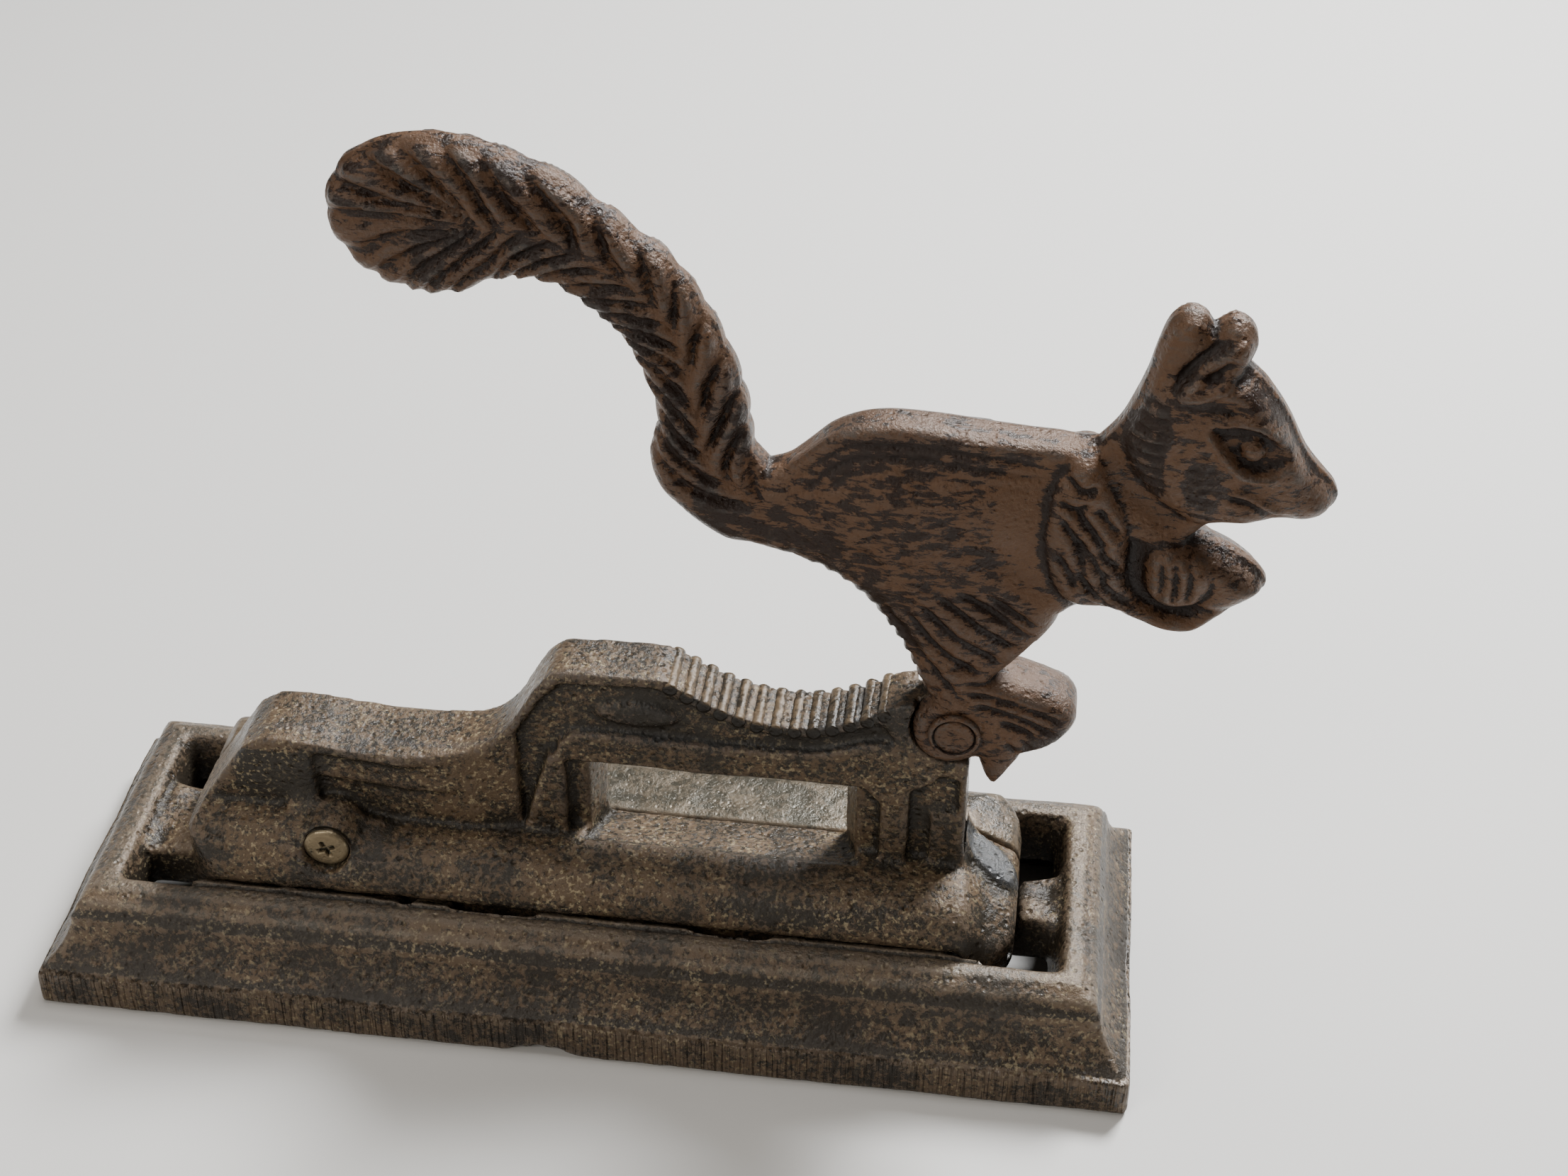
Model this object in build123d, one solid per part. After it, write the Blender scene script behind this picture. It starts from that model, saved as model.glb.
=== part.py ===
from build123d import *
import os
from math import cos, radians, sin

# Squirrel nutcracker in cast iron, in millimetres.
# +X runs along the plinth towards the squirrel's head, -Y is the front, +Z is up.
# The origin is at the middle of the plinth's foot, on the surface it stands on.

# ---- plinth -----------------------------------------------------------------
BASE_LENGTH = 210.0
BASE_WIDTH = 69.6
BASE_HEIGHT = 22.4
RIM_INSET = 14.2          # outer edge to the well in the top
WELL_DRAFT = 12.0         # slope of the well's walls, degrees
FLOOR_TOP = 14.2
FLOOR_THICKNESS = 3.6
CAVITY_INSET = 6.0        # outer edge to the hollow underneath
LEDGE_TOP = 20.6          # strips of raised floor beside the log
LEDGE_INNER = 16.4
LEDGE_SPAN = (-76.0, 72.0)
END_WEB_TOP = 19.6        # raised webs from the log's ends to the rim
LEFT_WEB_HALF = 9.4
RIGHT_WEB_HALF = 6.6
LEFT_HOLES = ((-89.0, -77.0), (10.0, 19.6))    # span in X, span in |Y|
RIGHT_HOLES = ((70.0, 88.6), (7.4, 19.4))
SIDE_SLOTS = ((-35.6, -33.0), (-25.6, -8.6), (20.8, 36.4))
SIDE_SLOT_REACH = (16.6, 20.6)
OVERLAP = 1.0             # how far a joined lump reaches into its neighbour

# ---- log --------------------------------------------------------------------
LOG_LEFT = -78.3
LOG_RIGHT = 81.6
LOG_HALF_WIDTH = 19.9
LOG_CORNER = 9.0
LOG_TOP_LEFT = 35.6
LOG_TOP_RIGHT = 32.2
LOG_BEND_START = -58.0    # the top steps down between these two stations
LOG_BEND_END = -40.0
LOG_LIP_Z = 24.2          # widest height of the log
LOG_FOOT_HALF = 15.6      # half-width under the lips
SPLIT_Y = 5.4             # flat face where the two log castings meet
REAR_LAND_TOP = 27.6
REAR_LAND_SPAN = (-20.0, 61.6)

# ---- anvil ------------------------------------------------------------------
WEB_FRONT = -5.5
BAR_LEFT_FRONT = -9.5
RELIEF_DEPTH = 1.6
RIB_COUNT = 12
RIB_PITCH = 3.25
RIB_RADIUS = 1.25
RIB_LIFT = 0.55           # rib grooves are centred this far above the seat
SHOULDER_TOP = 70.4
POST_RIGHT = 70.5
ANVIL_ROOF = 80.0         # above everything on the stand

# ---- pivot ------------------------------------------------------------------
PIVOT_X = 67.4
PIVOT_Z = 65.6
PIN_DIAMETER = 4.8
CHEEK_BORE = 4.9
TONGUE_BORE = 4.96
TONGUE_HALF = 2.6
TONGUE_RADIUS = 7.0
SLOT_HALF = 2.95
SLOT_RADIUS = 7.35
BOSS_RADIUS = 7.8
POCKET_RADIUS = 8.15
CHEEK_FACE = 6.6
WASHER_DIAMETER = 9.8
WASHER_BORE = 5.0
WASHER_THICKNESS = 1.2
RIVET_DIAMETER = 6.4
RIVET_THICKNESS = 0.8
SLOT_START = 118.0        # angles that bound the slot's clearance outside its round end
SLOT_END = 310.0
SLOT_FAR = 8.75           # outer radius of that clearance

# ---- fasteners --------------------------------------------------------------
CROSS_X = -49.6
CROSS_Z = 31.6
CROSS_BOSS_RADIUS = 5.3
CROSS_FACE = 17.0
CROSS_HEAD_DIAMETER = 8.6
CROSS_HEAD_THICKNESS = 1.8
CROSS_SHANK_DIAMETER = 4.0
NUT_FLATS = 7.0
NUT_THICKNESS = 3.2
BASE_SCREWS = ((-30.0, -6.0), (44.0, -6.0), (60.0, 12.0))
BASE_HEAD_DIAMETER = 8.0
BASE_HEAD_THICKNESS = 2.6
BASE_SHANK_TOP = 24.0
CLEARANCE = 0.1
NUT_POCKET_CLEARANCE = 0.8
HEAD_POCKET_CLEARANCE = 0.5

# ---- squirrel ---------------------------------------------------------------
BLANK_HALF = 4.6          # half-thickness of the squirrel's flat sides
WIDEST_HALF = 9.0         # beyond the thickest mass
TOOTH_COUNT = 9
TOOTH_DIAMETER = 1.6
TOOTH_INSET = 0.5


def slab(face, front, back):
    """Prism of a face drawn in the X-Z plane between two values of Y."""
    return extrude(Plane.XZ.offset(-back) * face, amount=back - front)


def bar_x(face, start, end):
    """Prism of a face drawn in the Y-Z plane between two values of X."""
    return extrude(Plane.YZ.offset(start) * face, amount=end - start)


def plate(face, bottom, top):
    """Prism of a face drawn in the X-Y plane between two values of Z."""
    return extrude(Plane.XY.offset(bottom) * face, amount=top - bottom)


def rod_y(x, z, diameter, front, back):
    """Round rod along Y."""
    return slab(Pos(x, z) * Circle(diameter / 2), front, back)


def block(low, high):
    """Axis-aligned block between two corners."""
    size = [b - a for a, b in zip(low, high)]
    middle = [(a + b) / 2 for a, b in zip(low, high)]
    return Pos(*middle) * Box(*size)


def closed(*edges):
    """Face inside a closed run of edges."""
    return make_face(Curve() + list(edges))


def polygon(*points):
    """Face inside a run of straight lines."""
    return closed(Polyline(*points, close=True))


def polar(radius, angle):
    """Point at a radius and an angle from the pivot, in the X-Z plane."""
    return (PIVOT_X + radius * cos(radians(angle)), PIVOT_Z + radius * sin(radians(angle)))


# ---- plinth -----------------------------------------------------------------
def moulding_section(half):
    """Half of the plinth's cross-section: band, cove, groove, bead and flat rim."""
    band_top = (half - 1.2, 8.8)
    cove_middle = (half - 4.6, 12.4)
    cove_top = (half - 6.4, 18.0)
    bead_foot = (half - 7.3, 18.6)
    bead_middle = (half - 8.0, 20.5)
    bead_top = (half - 9.9, 21.3)
    rim_edge = (half - 10.8, BASE_HEIGHT)
    return closed(
        Polyline((0, 0), (half, 0), (half - 0.3, 8.0), band_top),
        ThreePointArc(band_top, cove_middle, cove_top),
        Line(cove_top, bead_foot),
        ThreePointArc(bead_foot, bead_middle, bead_top),
        Polyline(bead_top, rim_edge, (0, BASE_HEIGHT), (0, 0)),
    )


def both_halves(face):
    """A half section together with its mirror image."""
    return face + mirror(face, Plane.YZ)


def plinth_blank():
    """Solid plinth, its mouldings mitred at the corners."""
    long_way = bar_x(both_halves(moulding_section(BASE_WIDTH / 2)), -BASE_LENGTH / 2, BASE_LENGTH / 2)
    short_way = slab(both_halves(moulding_section(BASE_LENGTH / 2)), -BASE_WIDTH / 2, BASE_WIDTH / 2)
    return long_way & short_way


def both_sides(span, reach):
    """Two blocks through the plinth, the same at the front and at the rear."""
    start, end = span
    inner, outer = reach
    front = block((start, -outer, 0), (end, -inner, BASE_HEIGHT))
    return front + mirror(front, Plane.XZ)


def end_holes():
    """The four holes in the floor, two beside each end web."""
    return [both_sides(span, reach) for span, reach in (LEFT_HOLES, RIGHT_HOLES)]


def side_slots():
    """Long slots and a small core hole between the log and the rim, front and rear."""
    return [both_sides(span, SIDE_SLOT_REACH) for span in SIDE_SLOTS]


def ledges():
    """Raised strips of floor between the log and the rim, front and rear."""
    start, end = LEDGE_SPAN
    outer = BASE_WIDTH / 2 - RIM_INSET + OVERLAP
    front = block((start, -outer, FLOOR_TOP - OVERLAP), (end, -LEDGE_INNER, LEDGE_TOP))
    return [front, mirror(front, Plane.XZ)]


def end_webs():
    """Raised webs that run from the log's two ends to the rim."""
    reach = BASE_LENGTH / 2 - RIM_INSET + OVERLAP
    low = FLOOR_TOP - OVERLAP
    right = block((LOG_RIGHT + CLEARANCE, -RIGHT_WEB_HALF, low), (reach, RIGHT_WEB_HALF, END_WEB_TOP))
    left = block((-reach, -LEFT_WEB_HALF, low), (LOG_LEFT - CLEARANCE, LEFT_WEB_HALF, END_WEB_TOP))
    return [right, left]


def base_plinth():
    """One casting: moulded rim, hollow underneath, openwork floor."""
    half_length = BASE_LENGTH / 2
    half_width = BASE_WIDTH / 2
    well = extrude(
        Plane.XY.offset(BASE_HEIGHT) * Rectangle(2 * (half_length - RIM_INSET), 2 * (half_width - RIM_INSET)),
        amount=FLOOR_TOP - BASE_HEIGHT,
        taper=WELL_DRAFT,
    )
    cavity = extrude(
        Rectangle(2 * (half_length - CAVITY_INSET), 2 * (half_width - CAVITY_INSET)),
        amount=FLOOR_TOP - FLOOR_THICKNESS,
        taper=WELL_DRAFT / 2,
    )
    body = plinth_blank() - well - cavity
    for lump in ledges() + end_webs():
        body += lump
    for hole in end_holes() + side_slots():
        body -= hole
    for x, y in BASE_SCREWS:
        body -= Pos(x, y, 0) * Cylinder(CROSS_SHANK_DIAMETER / 2 + CLEARANCE, 3 * BASE_HEIGHT)
    return body


# ---- log --------------------------------------------------------------------
def log_section(top):
    """Cross-section of the whole log: undercut lips and a rounded back."""
    rise = top - LOG_LIP_Z
    rounding = [(0.0, 0.0), (0.4, 0.35), (1.9, 0.66), (4.6, 0.86), (9.0, 0.97)]    # inset, share of the rise
    side = [(LOG_FOOT_HALF, FLOOR_TOP), (LOG_FOOT_HALF, 21.4), (LOG_HALF_WIDTH - 0.9, 22.5)]
    side += [(LOG_HALF_WIDTH - inset, LOG_LIP_Z + share * rise) for inset, share in rounding]
    side += [(0, top)]
    other = [(-y, z) for y, z in reversed(side[:-1])]
    return polygon(*side, *other)


def log_blank():
    """Whole log, before it is parted into two castings."""
    high = bar_x(log_section(LOG_TOP_LEFT), LOG_LEFT, LOG_BEND_START)
    low = bar_x(log_section(LOG_TOP_RIGHT), LOG_BEND_END, LOG_RIGHT)
    bend = loft(
        [
            Plane.YZ.offset(LOG_BEND_START) * log_section(LOG_TOP_LEFT),
            Plane.YZ.offset(LOG_BEND_END) * log_section(LOG_TOP_RIGHT),
        ]
    )
    length = LOG_RIGHT - LOG_LEFT
    plan = Pos((LOG_RIGHT + LOG_LEFT) / 2, 0) * RectangleRounded(length, 2 * LOG_HALF_WIDTH, LOG_CORNER)
    side_view = polygon(
        (LOG_LEFT + 3.0, FLOOR_TOP),
        (LOG_LEFT, 20.0),
        (LOG_LEFT, 31.0),
        (LOG_LEFT + 4.0, LOG_TOP_LEFT + 1),
        (70.6, LOG_TOP_LEFT + 1),
        (70.6, LOG_TOP_RIGHT),
        (LOG_RIGHT - 1.2, 27.6),
        (LOG_RIGHT, 25.0),
        (LOG_RIGHT, 19.0),
        (LOG_RIGHT - 3.0, FLOOR_TOP),
    )
    whole = high + bend + low
    whole &= plate(plan, FLOOR_TOP, LOG_TOP_LEFT + 1)
    whole &= slab(side_view, -LOG_HALF_WIDTH, LOG_HALF_WIDTH)
    return whole


def cross_boss(front, back):
    """Round boss through the log for the cross screw."""
    return rod_y(CROSS_X, CROSS_Z, 2 * CROSS_BOSS_RADIUS, front, back)


def base_screw_bores():
    """Bores in the log for the screws from below."""
    return [
        Pos(x, y, (FLOOR_TOP + BASE_SHANK_TOP) / 2)
        * Cylinder(CROSS_SHANK_DIAMETER / 2 + CLEARANCE, BASE_SHANK_TOP - FLOOR_TOP + 1)
        for x, y in BASE_SCREWS
    ]


# ---- anvil ------------------------------------------------------------------
SEAT = [
    (14.6, 70.6), (18, 68.8), (22, 66.6), (26, 64.7), (31, 63.2), (36, 62.6), (41, 62.8), (46, 64.2), (51, 66.4),
    (55, 68.8), (58, 70.1),
]
BAR_TOP = [
    (-62.5, 51.2), (-56, 51.4), (-47, 50.3), (-38, 49.7), (-28, 50.0), (-21.5, 51.4), (-16.5, 55), (-12.5, 61),
    (-9.5, 66.4), (-6.8, 69.6), (-3, 70.7),
]
SHOULDER_CREST = (58.8, SHOULDER_TOP)


def anvil_profile():
    """Side view of the anvil: sloped end, dipped bar, plateau, nut seat, shoulder and post."""
    return closed(
        Polyline((LOG_LEFT + 1.5, 28), (LOG_LEFT + 1.5, 33), (-66.6, 48.4), BAR_TOP[0]),
        Spline(*BAR_TOP),
        Polyline(BAR_TOP[-1], (13.2, 71), SEAT[0]),
        Spline(*SEAT),
        Polyline(
            SEAT[-1],
            (61.5, SHOULDER_TOP),
            (POST_RIGHT, SHOULDER_TOP),
            (POST_RIGHT, 36),
            (POST_RIGHT + 1.2, 28),
            (LOG_LEFT + 1.5, 28),
        ),
    )


def bar_plan():
    """Plan of the anvil: its front edge flares out to the left."""
    return polygon(
        (LOG_LEFT, BAR_LEFT_FRONT),
        (-36, BAR_LEFT_FRONT),
        (-12, WEB_FRONT),
        (LOG_RIGHT, WEB_FRONT),
        (LOG_RIGHT, SPLIT_Y),
        (LOG_LEFT, SPLIT_Y),
    )


def front_relief():
    """Shallow recesses in the anvil's front face, as prisms to cut away."""
    upper_left = polygon((-53, 48.6), (-38, 47.4), (-26, 47.4), (-17, 50), (-15, 54), (-15, 28), (-53, 28))
    lower_left = polygon((-53, 42.4), (-38, 41.0), (-26, 41.0), (-15, 42), (-15, 28), (-53, 28))
    right = polygon(
        (-14, 28), (-14, 55.6), (-9.4, 63.4), (-5.4, 67.8), (12.8, 68.8), (21.6, 64.2), (27, 61.6), (33, 60.3),
        (41, 60.3), (48, 62.4), (54, 65.4), (56.4, 62), (59, 57), (64, 54), (POST_RIGHT - 1.4, 53),
        (POST_RIGHT - 1.4, 28),
    )
    return [
        slab(upper_left, BAR_LEFT_FRONT, BAR_LEFT_FRONT + 1.2),
        slab(lower_left, BAR_LEFT_FRONT, BAR_LEFT_FRONT + 2.2),
        slab(right, BAR_LEFT_FRONT, WEB_FRONT + RELIEF_DEPTH),
    ]


def front_ridges():
    """Raised work on the recessed face: window frame, legs, gusset, lens and square pad."""
    back = WEB_FRONT + RELIEF_DEPTH + 0.5
    frame = polygon(
        (-6.4, 49.6), (-6.2, 53.6), (-3.4, 56.4), (2, 56.8), (27, 56.2), (43, 57), (51, 60), (55.4, 61),
        (59.4, 57.8), (64.9, 52.8), (60, 49.6), (59.6, 30), (54.7, 30), (54.6, 46), (51.4, 49.6),
    )
    gusset = polygon((-14, 29), (-10.8, 41.6), (-8, 51), (-5.6, 52), (-4.6, 46), (-5, 29))
    lens = Pos(9, 61.6) * Ellipse(7.6, 2.5)
    pad = polygon((64.2, 30), (64.2, 43.6), (POST_RIGHT, 45), (POST_RIGHT, 30))
    return [
        slab(frame, WEB_FRONT - 0.5, back),
        slab(gusset, WEB_FRONT - 1.2, back),
        slab(lens, WEB_FRONT + 0.3, back),
        slab(pad, WEB_FRONT + 0.2, back),
    ]


def window():
    """Opening through the web, narrowing towards the back, with a sill that falls away."""
    front = Plane.XZ.offset(8) * polygon((-1.8, 31.2), (51.2, 31.2), (51.2, 49.6), (-1.8, 49.6))
    back = Plane.XZ.offset(-SPLIT_Y - 1) * polygon((1.4, 27.4), (47.2, 27.4), (47.2, 48), (1.4, 48))
    return loft([front, back])


def seat_ribs():
    """Grooves across the nut seat, evenly spaced along it."""
    curve = Spline(*SEAT)
    start = 0.5 * (1 - (RIB_COUNT - 1) * RIB_PITCH / curve.length)
    grooves = []
    for index in range(RIB_COUNT):
        place = curve @ (start + index * RIB_PITCH / curve.length)
        grooves.append(rod_y(place.X, place.Y + RIB_LIFT, 2 * RIB_RADIUS, BAR_LEFT_FRONT, SPLIT_Y))
    return grooves


def shoulder_corner():
    """Wedge that rounds the shoulder's corner off beside the pivot pocket."""
    low = polar(POCKET_RADIUS, 152)
    outline = closed(
        ThreePointArc(SHOULDER_CREST, (60.1, 70.0), low),
        Polyline(low, (64, 71), (64, 73), (58.8, 73), SHOULDER_CREST),
    )
    return slab(outline, BAR_LEFT_FRONT, SPLIT_Y)


def tongue():
    """Thin plate at the anvil's right end that carries the pivot bore."""
    disc = Pos(PIVOT_X, PIVOT_Z) * Circle(TONGUE_RADIUS)
    neck = Pos(PIVOT_X, PIVOT_Z) * Circle(POCKET_RADIUS + 1)
    return slab(disc + (anvil_profile() & neck), -TONGUE_HALF, TONGUE_HALF)


def anvil_casting():
    """Front casting: front of the log, web, bar, nut seat and tongue in one piece."""
    anvil = slab(anvil_profile(), BAR_LEFT_FRONT, SPLIT_Y) & plate(bar_plan(), 0, ANVIL_ROOF)
    for recess in front_relief():
        anvil -= recess
    for ridge in front_ridges():
        anvil += ridge
    for groove in seat_ribs():
        anvil -= groove
    anvil -= shoulder_corner()
    anvil -= rod_y(PIVOT_X, PIVOT_Z, 2 * POCKET_RADIUS, BAR_LEFT_FRONT, SPLIT_Y)
    anvil += tongue()
    log = log_blank() & block((LOG_LEFT, -LOG_HALF_WIDTH, 0), (LOG_RIGHT, SPLIT_Y, ANVIL_ROOF))
    casting = anvil + log + cross_boss(-CROSS_FACE, SPLIT_Y)
    casting -= window()
    casting -= rod_y(PIVOT_X, PIVOT_Z, TONGUE_BORE, BAR_LEFT_FRONT, SPLIT_Y)
    head_seat = -CROSS_FACE + CROSS_HEAD_THICKNESS
    head_pocket = CROSS_HEAD_DIAMETER + HEAD_POCKET_CLEARANCE
    casting -= rod_y(CROSS_X, CROSS_Z, CROSS_SHANK_DIAMETER + 2 * CLEARANCE, -LOG_HALF_WIDTH, SPLIT_Y)
    casting -= rod_y(CROSS_X, CROSS_Z, head_pocket, -LOG_HALF_WIDTH - OVERLAP, head_seat)
    for bore in base_screw_bores():
        casting -= bore
    return casting


def log_rear_half():
    """Rear casting: back of the log, with a flat land behind the window."""
    rear = log_blank() & block((LOG_LEFT, SPLIT_Y, 0), (LOG_RIGHT, LOG_HALF_WIDTH, ANVIL_ROOF))
    rear += cross_boss(SPLIT_Y, CROSS_FACE)
    start, end = REAR_LAND_SPAN
    nut_pocket = NUT_FLATS / cos(radians(30)) + NUT_POCKET_CLEARANCE
    outside = LOG_HALF_WIDTH + OVERLAP
    rear -= block((start, 0, REAR_LAND_TOP), (end, outside, ANVIL_ROOF))
    rear -= rod_y(CROSS_X, CROSS_Z, CROSS_SHANK_DIAMETER + 2 * CLEARANCE, SPLIT_Y, CROSS_FACE)
    rear -= rod_y(CROSS_X, CROSS_Z, nut_pocket, CROSS_FACE - NUT_THICKNESS, outside)
    for bore in base_screw_bores():
        rear -= bore
    return rear


# ---- squirrel ---------------------------------------------------------------
TAIL_AND_THIGH = [
    (32.7, 117.3), (29.6, 121), (28.6, 129), (26, 138.5), (22, 147), (16.5, 155), (9, 161.2), (-1, 168.7),
    (-12, 173.8), (-21, 175.2), (-29, 174), (-35, 170.4), (-38.4, 165), (-38.8, 159.5), (-36.8, 154.6),
    (-32, 150.2), (-25.5, 147.8), (-18.8, 148), (-11, 151.2), (-3, 151), (4, 146.4), (9.2, 141), (13, 132),
    (14.4, 125.6), (13, 119.4), (14, 113.2), (18.6, 108), (25, 103.7), (31, 101.8), (37.5, 100.4),
    (44.2, 97.1), (50, 92.2), (55.6, 84.8), (58.4, 79.6), (60.4, 74.8),
]
THIGH_FIRST = 29          # first of those points on the thigh's rear edge
FOOT = [
    (80.2, 60.6), (84.2, 62.6), (87.6, 66), (88.9, 69.6), (87.6, 72.4), (83.6, 74.8), (78.5, 76.4), (73.4, 77.4),
]
KNEE = [(73.4, 77.4), (78.6, 83.6), (82.8, 89), (84.2, 92.8)]
PAW_AND_ACORN = [
    (84.2, 92.8), (87.2, 95.2), (91, 95.4), (96, 93.6), (101.5, 91.4), (107, 91.7), (111, 94.8), (114.4, 97),
    (117.4, 99.6), (118.3, 101.6), (116.6, 104.4), (112.6, 107.4), (108.6, 109.2), (104.6, 110.8),
]
FACE = [
    (104.6, 110.8), (108, 114.2), (113, 114.8), (118, 116.2), (122, 115.8), (125.4, 117.2), (127.3, 119.8),
    (126.6, 122.8), (121.4, 128.8), (117.4, 136), (113.4, 141.4), (109.8, 144.6),
]
FRONT_EAR = [(109.8, 144.6), (110.8, 148.4), (109.6, 151.8), (106.6, 153.2), (103.6, 151.2)]
BACK_EAR = [
    (103.6, 151.2), (102, 153.4), (99.4, 154), (96.8, 152.2), (95.2, 147.6), (93.8, 141), (91, 132.8),
    (87.4, 127.4),
]
BACK = [
    (87.4, 127.4), (80, 126.4), (70, 127), (60, 127.8), (52, 127.8), (46, 126.2), (40, 122.2), (36, 118.8),
    (32.7, 117.3),
]
BOSS_START = 131.0        # angle where the thigh's rear edge runs into the boss
BOSS_END = -59.0          # angle where the spur leaves the boss
SPUR = [(74.0, 53.4), (75.1, 52.2), (76.4, 53.2)]
ROUND_MASSES = [          # x, z, turn, half-length, half-height, half-thickness, rounding
    (57, 113, -8, 27, 13.5, 6.6, 2.4),      # trunk
    (66, 97, 42, 13, 21, 8.4, 3.0),         # haunch
    (88, 112, 0, 9, 14.5, 7.2, 2.4),        # shoulder
    (107.5, 102.6, -12, 10.2, 7, 6.2, 2.4),     # acorn
    (107.5, 129.5, -32, 19, 14, 7.2, 3.0),      # skull
]
LONG_MASSES = [           # x, z, turn, length, height, half-thickness, rounding
    (97, 97, -14, 32, 10, 7.0, 2.0),        # forearm
    (69.5, 76, 12, 30, 14, CHEEK_FACE, 1.2),    # lower leg
    (77, 68.5, 10, 27, 17, CHEEK_FACE, 1.6),    # foot
]


def squirrel_outline():
    """Side view of the squirrel, in its resting pose."""
    boss_start = polar(BOSS_RADIUS, BOSS_START)
    boss_low = polar(BOSS_RADIUS, 220)
    boss_end = polar(BOSS_RADIUS, BOSS_END)
    return closed(
        Spline(*TAIL_AND_THIGH, boss_start),
        ThreePointArc(boss_start, boss_low, boss_end),
        Line(boss_end, SPUR[0]),
        ThreePointArc(*SPUR),
        Line(SPUR[-1], FOOT[0]),
        Spline(*FOOT),
        Spline(*KNEE),
        Spline(*PAW_AND_ACORN),
        Spline(*FACE),
        Spline(*FRONT_EAR),
        Spline(*BACK_EAR),
        Spline(*BACK),
    )


def raised(face, half, round_over):
    """Boss of a face drawn in the side view, standing out equally on both sides."""
    body = slab(face, -half, half)
    ends = body.edges().filter_by(lambda edge: abs(abs(edge.center().Y) - half) < 1e-3)
    return fillet(ends, round_over)


def squirrel_masses():
    """The rounded masses that stand out from the squirrel's flat sides."""
    masses = []
    for x, z, turn, length, height, half, rounding in ROUND_MASSES:
        masses.append(raised(Pos(x, z) * Rot(0, 0, turn) * Ellipse(length, height), half, rounding))
    for x, z, turn, length, height, half, rounding in LONG_MASSES:
        masses.append(raised(Pos(x, z) * Rot(0, 0, turn) * SlotOverall(length, height), half, rounding))
    return masses


def thigh_teeth():
    """Notches across the rear edge of the thigh, which grips the nut."""
    edge = Spline(*TAIL_AND_THIGH[THIGH_FIRST:-1])
    teeth = []
    for index in range(TOOTH_COUNT):
        place = edge @ (index / TOOTH_COUNT)
        centre = (place.X - TOOTH_INSET, place.Y - TOOTH_INSET)
        teeth.append(rod_y(*centre, TOOTH_DIAMETER, -WIDEST_HALF, WIDEST_HALF))
    return teeth


def leg_slot():
    """Slot between the two cheeks of the leg, in which the tongue swings."""
    middle = (SLOT_START + SLOT_END) / 2
    fan = closed(
        Line((PIVOT_X, PIVOT_Z), polar(SLOT_FAR, SLOT_START)),
        ThreePointArc(polar(SLOT_FAR, SLOT_START), polar(SLOT_FAR, middle), polar(SLOT_FAR, SLOT_END)),
        Line(polar(SLOT_FAR, SLOT_END), (PIVOT_X, PIVOT_Z)),
    )
    disc = Pos(PIVOT_X, PIVOT_Z) * Circle(SLOT_RADIUS)
    return slab(disc + fan, -SLOT_HALF, SLOT_HALF)


def squirrel_lever():
    """The squirrel in one casting, from tail tip to foot, with its forked leg."""
    outline = squirrel_outline()
    blank = slab(outline, -BLANK_HALF, BLANK_HALF)
    envelope = slab(outline, -WIDEST_HALF, WIDEST_HALF)
    for mass in squirrel_masses():
        blank += mass & envelope
    boss = rod_y(PIVOT_X, PIVOT_Z, 2 * BOSS_RADIUS, -CHEEK_FACE, CHEEK_FACE)
    lever = blank + boss
    for notch in thigh_teeth():
        lever -= notch
    lever -= leg_slot()
    lever -= rod_y(PIVOT_X, PIVOT_Z, CHEEK_BORE, -WIDEST_HALF, WIDEST_HALF)
    return lever


# ---- fasteners --------------------------------------------------------------
def pivot_pin():
    """Pin through both cheeks and the tongue, riveted over at both ends."""
    end = CHEEK_FACE + WASHER_THICKNESS
    pin = rod_y(PIVOT_X, PIVOT_Z, PIN_DIAMETER, -end, end)
    pin += rod_y(PIVOT_X, PIVOT_Z, RIVET_DIAMETER, -end - RIVET_THICKNESS, -end)
    pin += rod_y(PIVOT_X, PIVOT_Z, RIVET_DIAMETER, end, end + RIVET_THICKNESS)
    return pin


def pivot_washers():
    """The two washers under the riveted ends of the pin."""
    ring = Pos(PIVOT_X, PIVOT_Z) * (Circle(WASHER_DIAMETER / 2) - Circle(WASHER_BORE / 2))
    front = slab(ring, -CHEEK_FACE - WASHER_THICKNESS, -CHEEK_FACE)
    back = slab(ring, CHEEK_FACE, CHEEK_FACE + WASHER_THICKNESS)
    return Compound([front, back])


def cross_screw():
    """Cross-recess screw that draws the two halves of the log together."""
    seat = -CROSS_FACE + CROSS_HEAD_THICKNESS
    screw = rod_y(CROSS_X, CROSS_Z, CROSS_HEAD_DIAMETER, seat - CROSS_HEAD_THICKNESS - 0.2, seat)
    screw += rod_y(CROSS_X, CROSS_Z, CROSS_SHANK_DIAMETER, seat, CROSS_FACE + 0.4)
    for turn in (25, 115):
        slot = Pos(CROSS_X, CROSS_Z) * Rot(0, 0, turn) * Rectangle(3.6, 0.9)
        screw -= slab(slot, -CROSS_FACE - 1, -CROSS_FACE + 0.9)
    return screw


def cross_nut():
    """Hexagon nut on the cross screw, sunk in the rear half of the log."""
    hexagon = RegularPolygon(NUT_FLATS / 2, 6, major_radius=False)
    bore = Circle(CROSS_SHANK_DIAMETER / 2 + 0.05)
    return slab(Pos(CROSS_X, CROSS_Z) * (hexagon - bore), CROSS_FACE - NUT_THICKNESS, CROSS_FACE)


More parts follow.
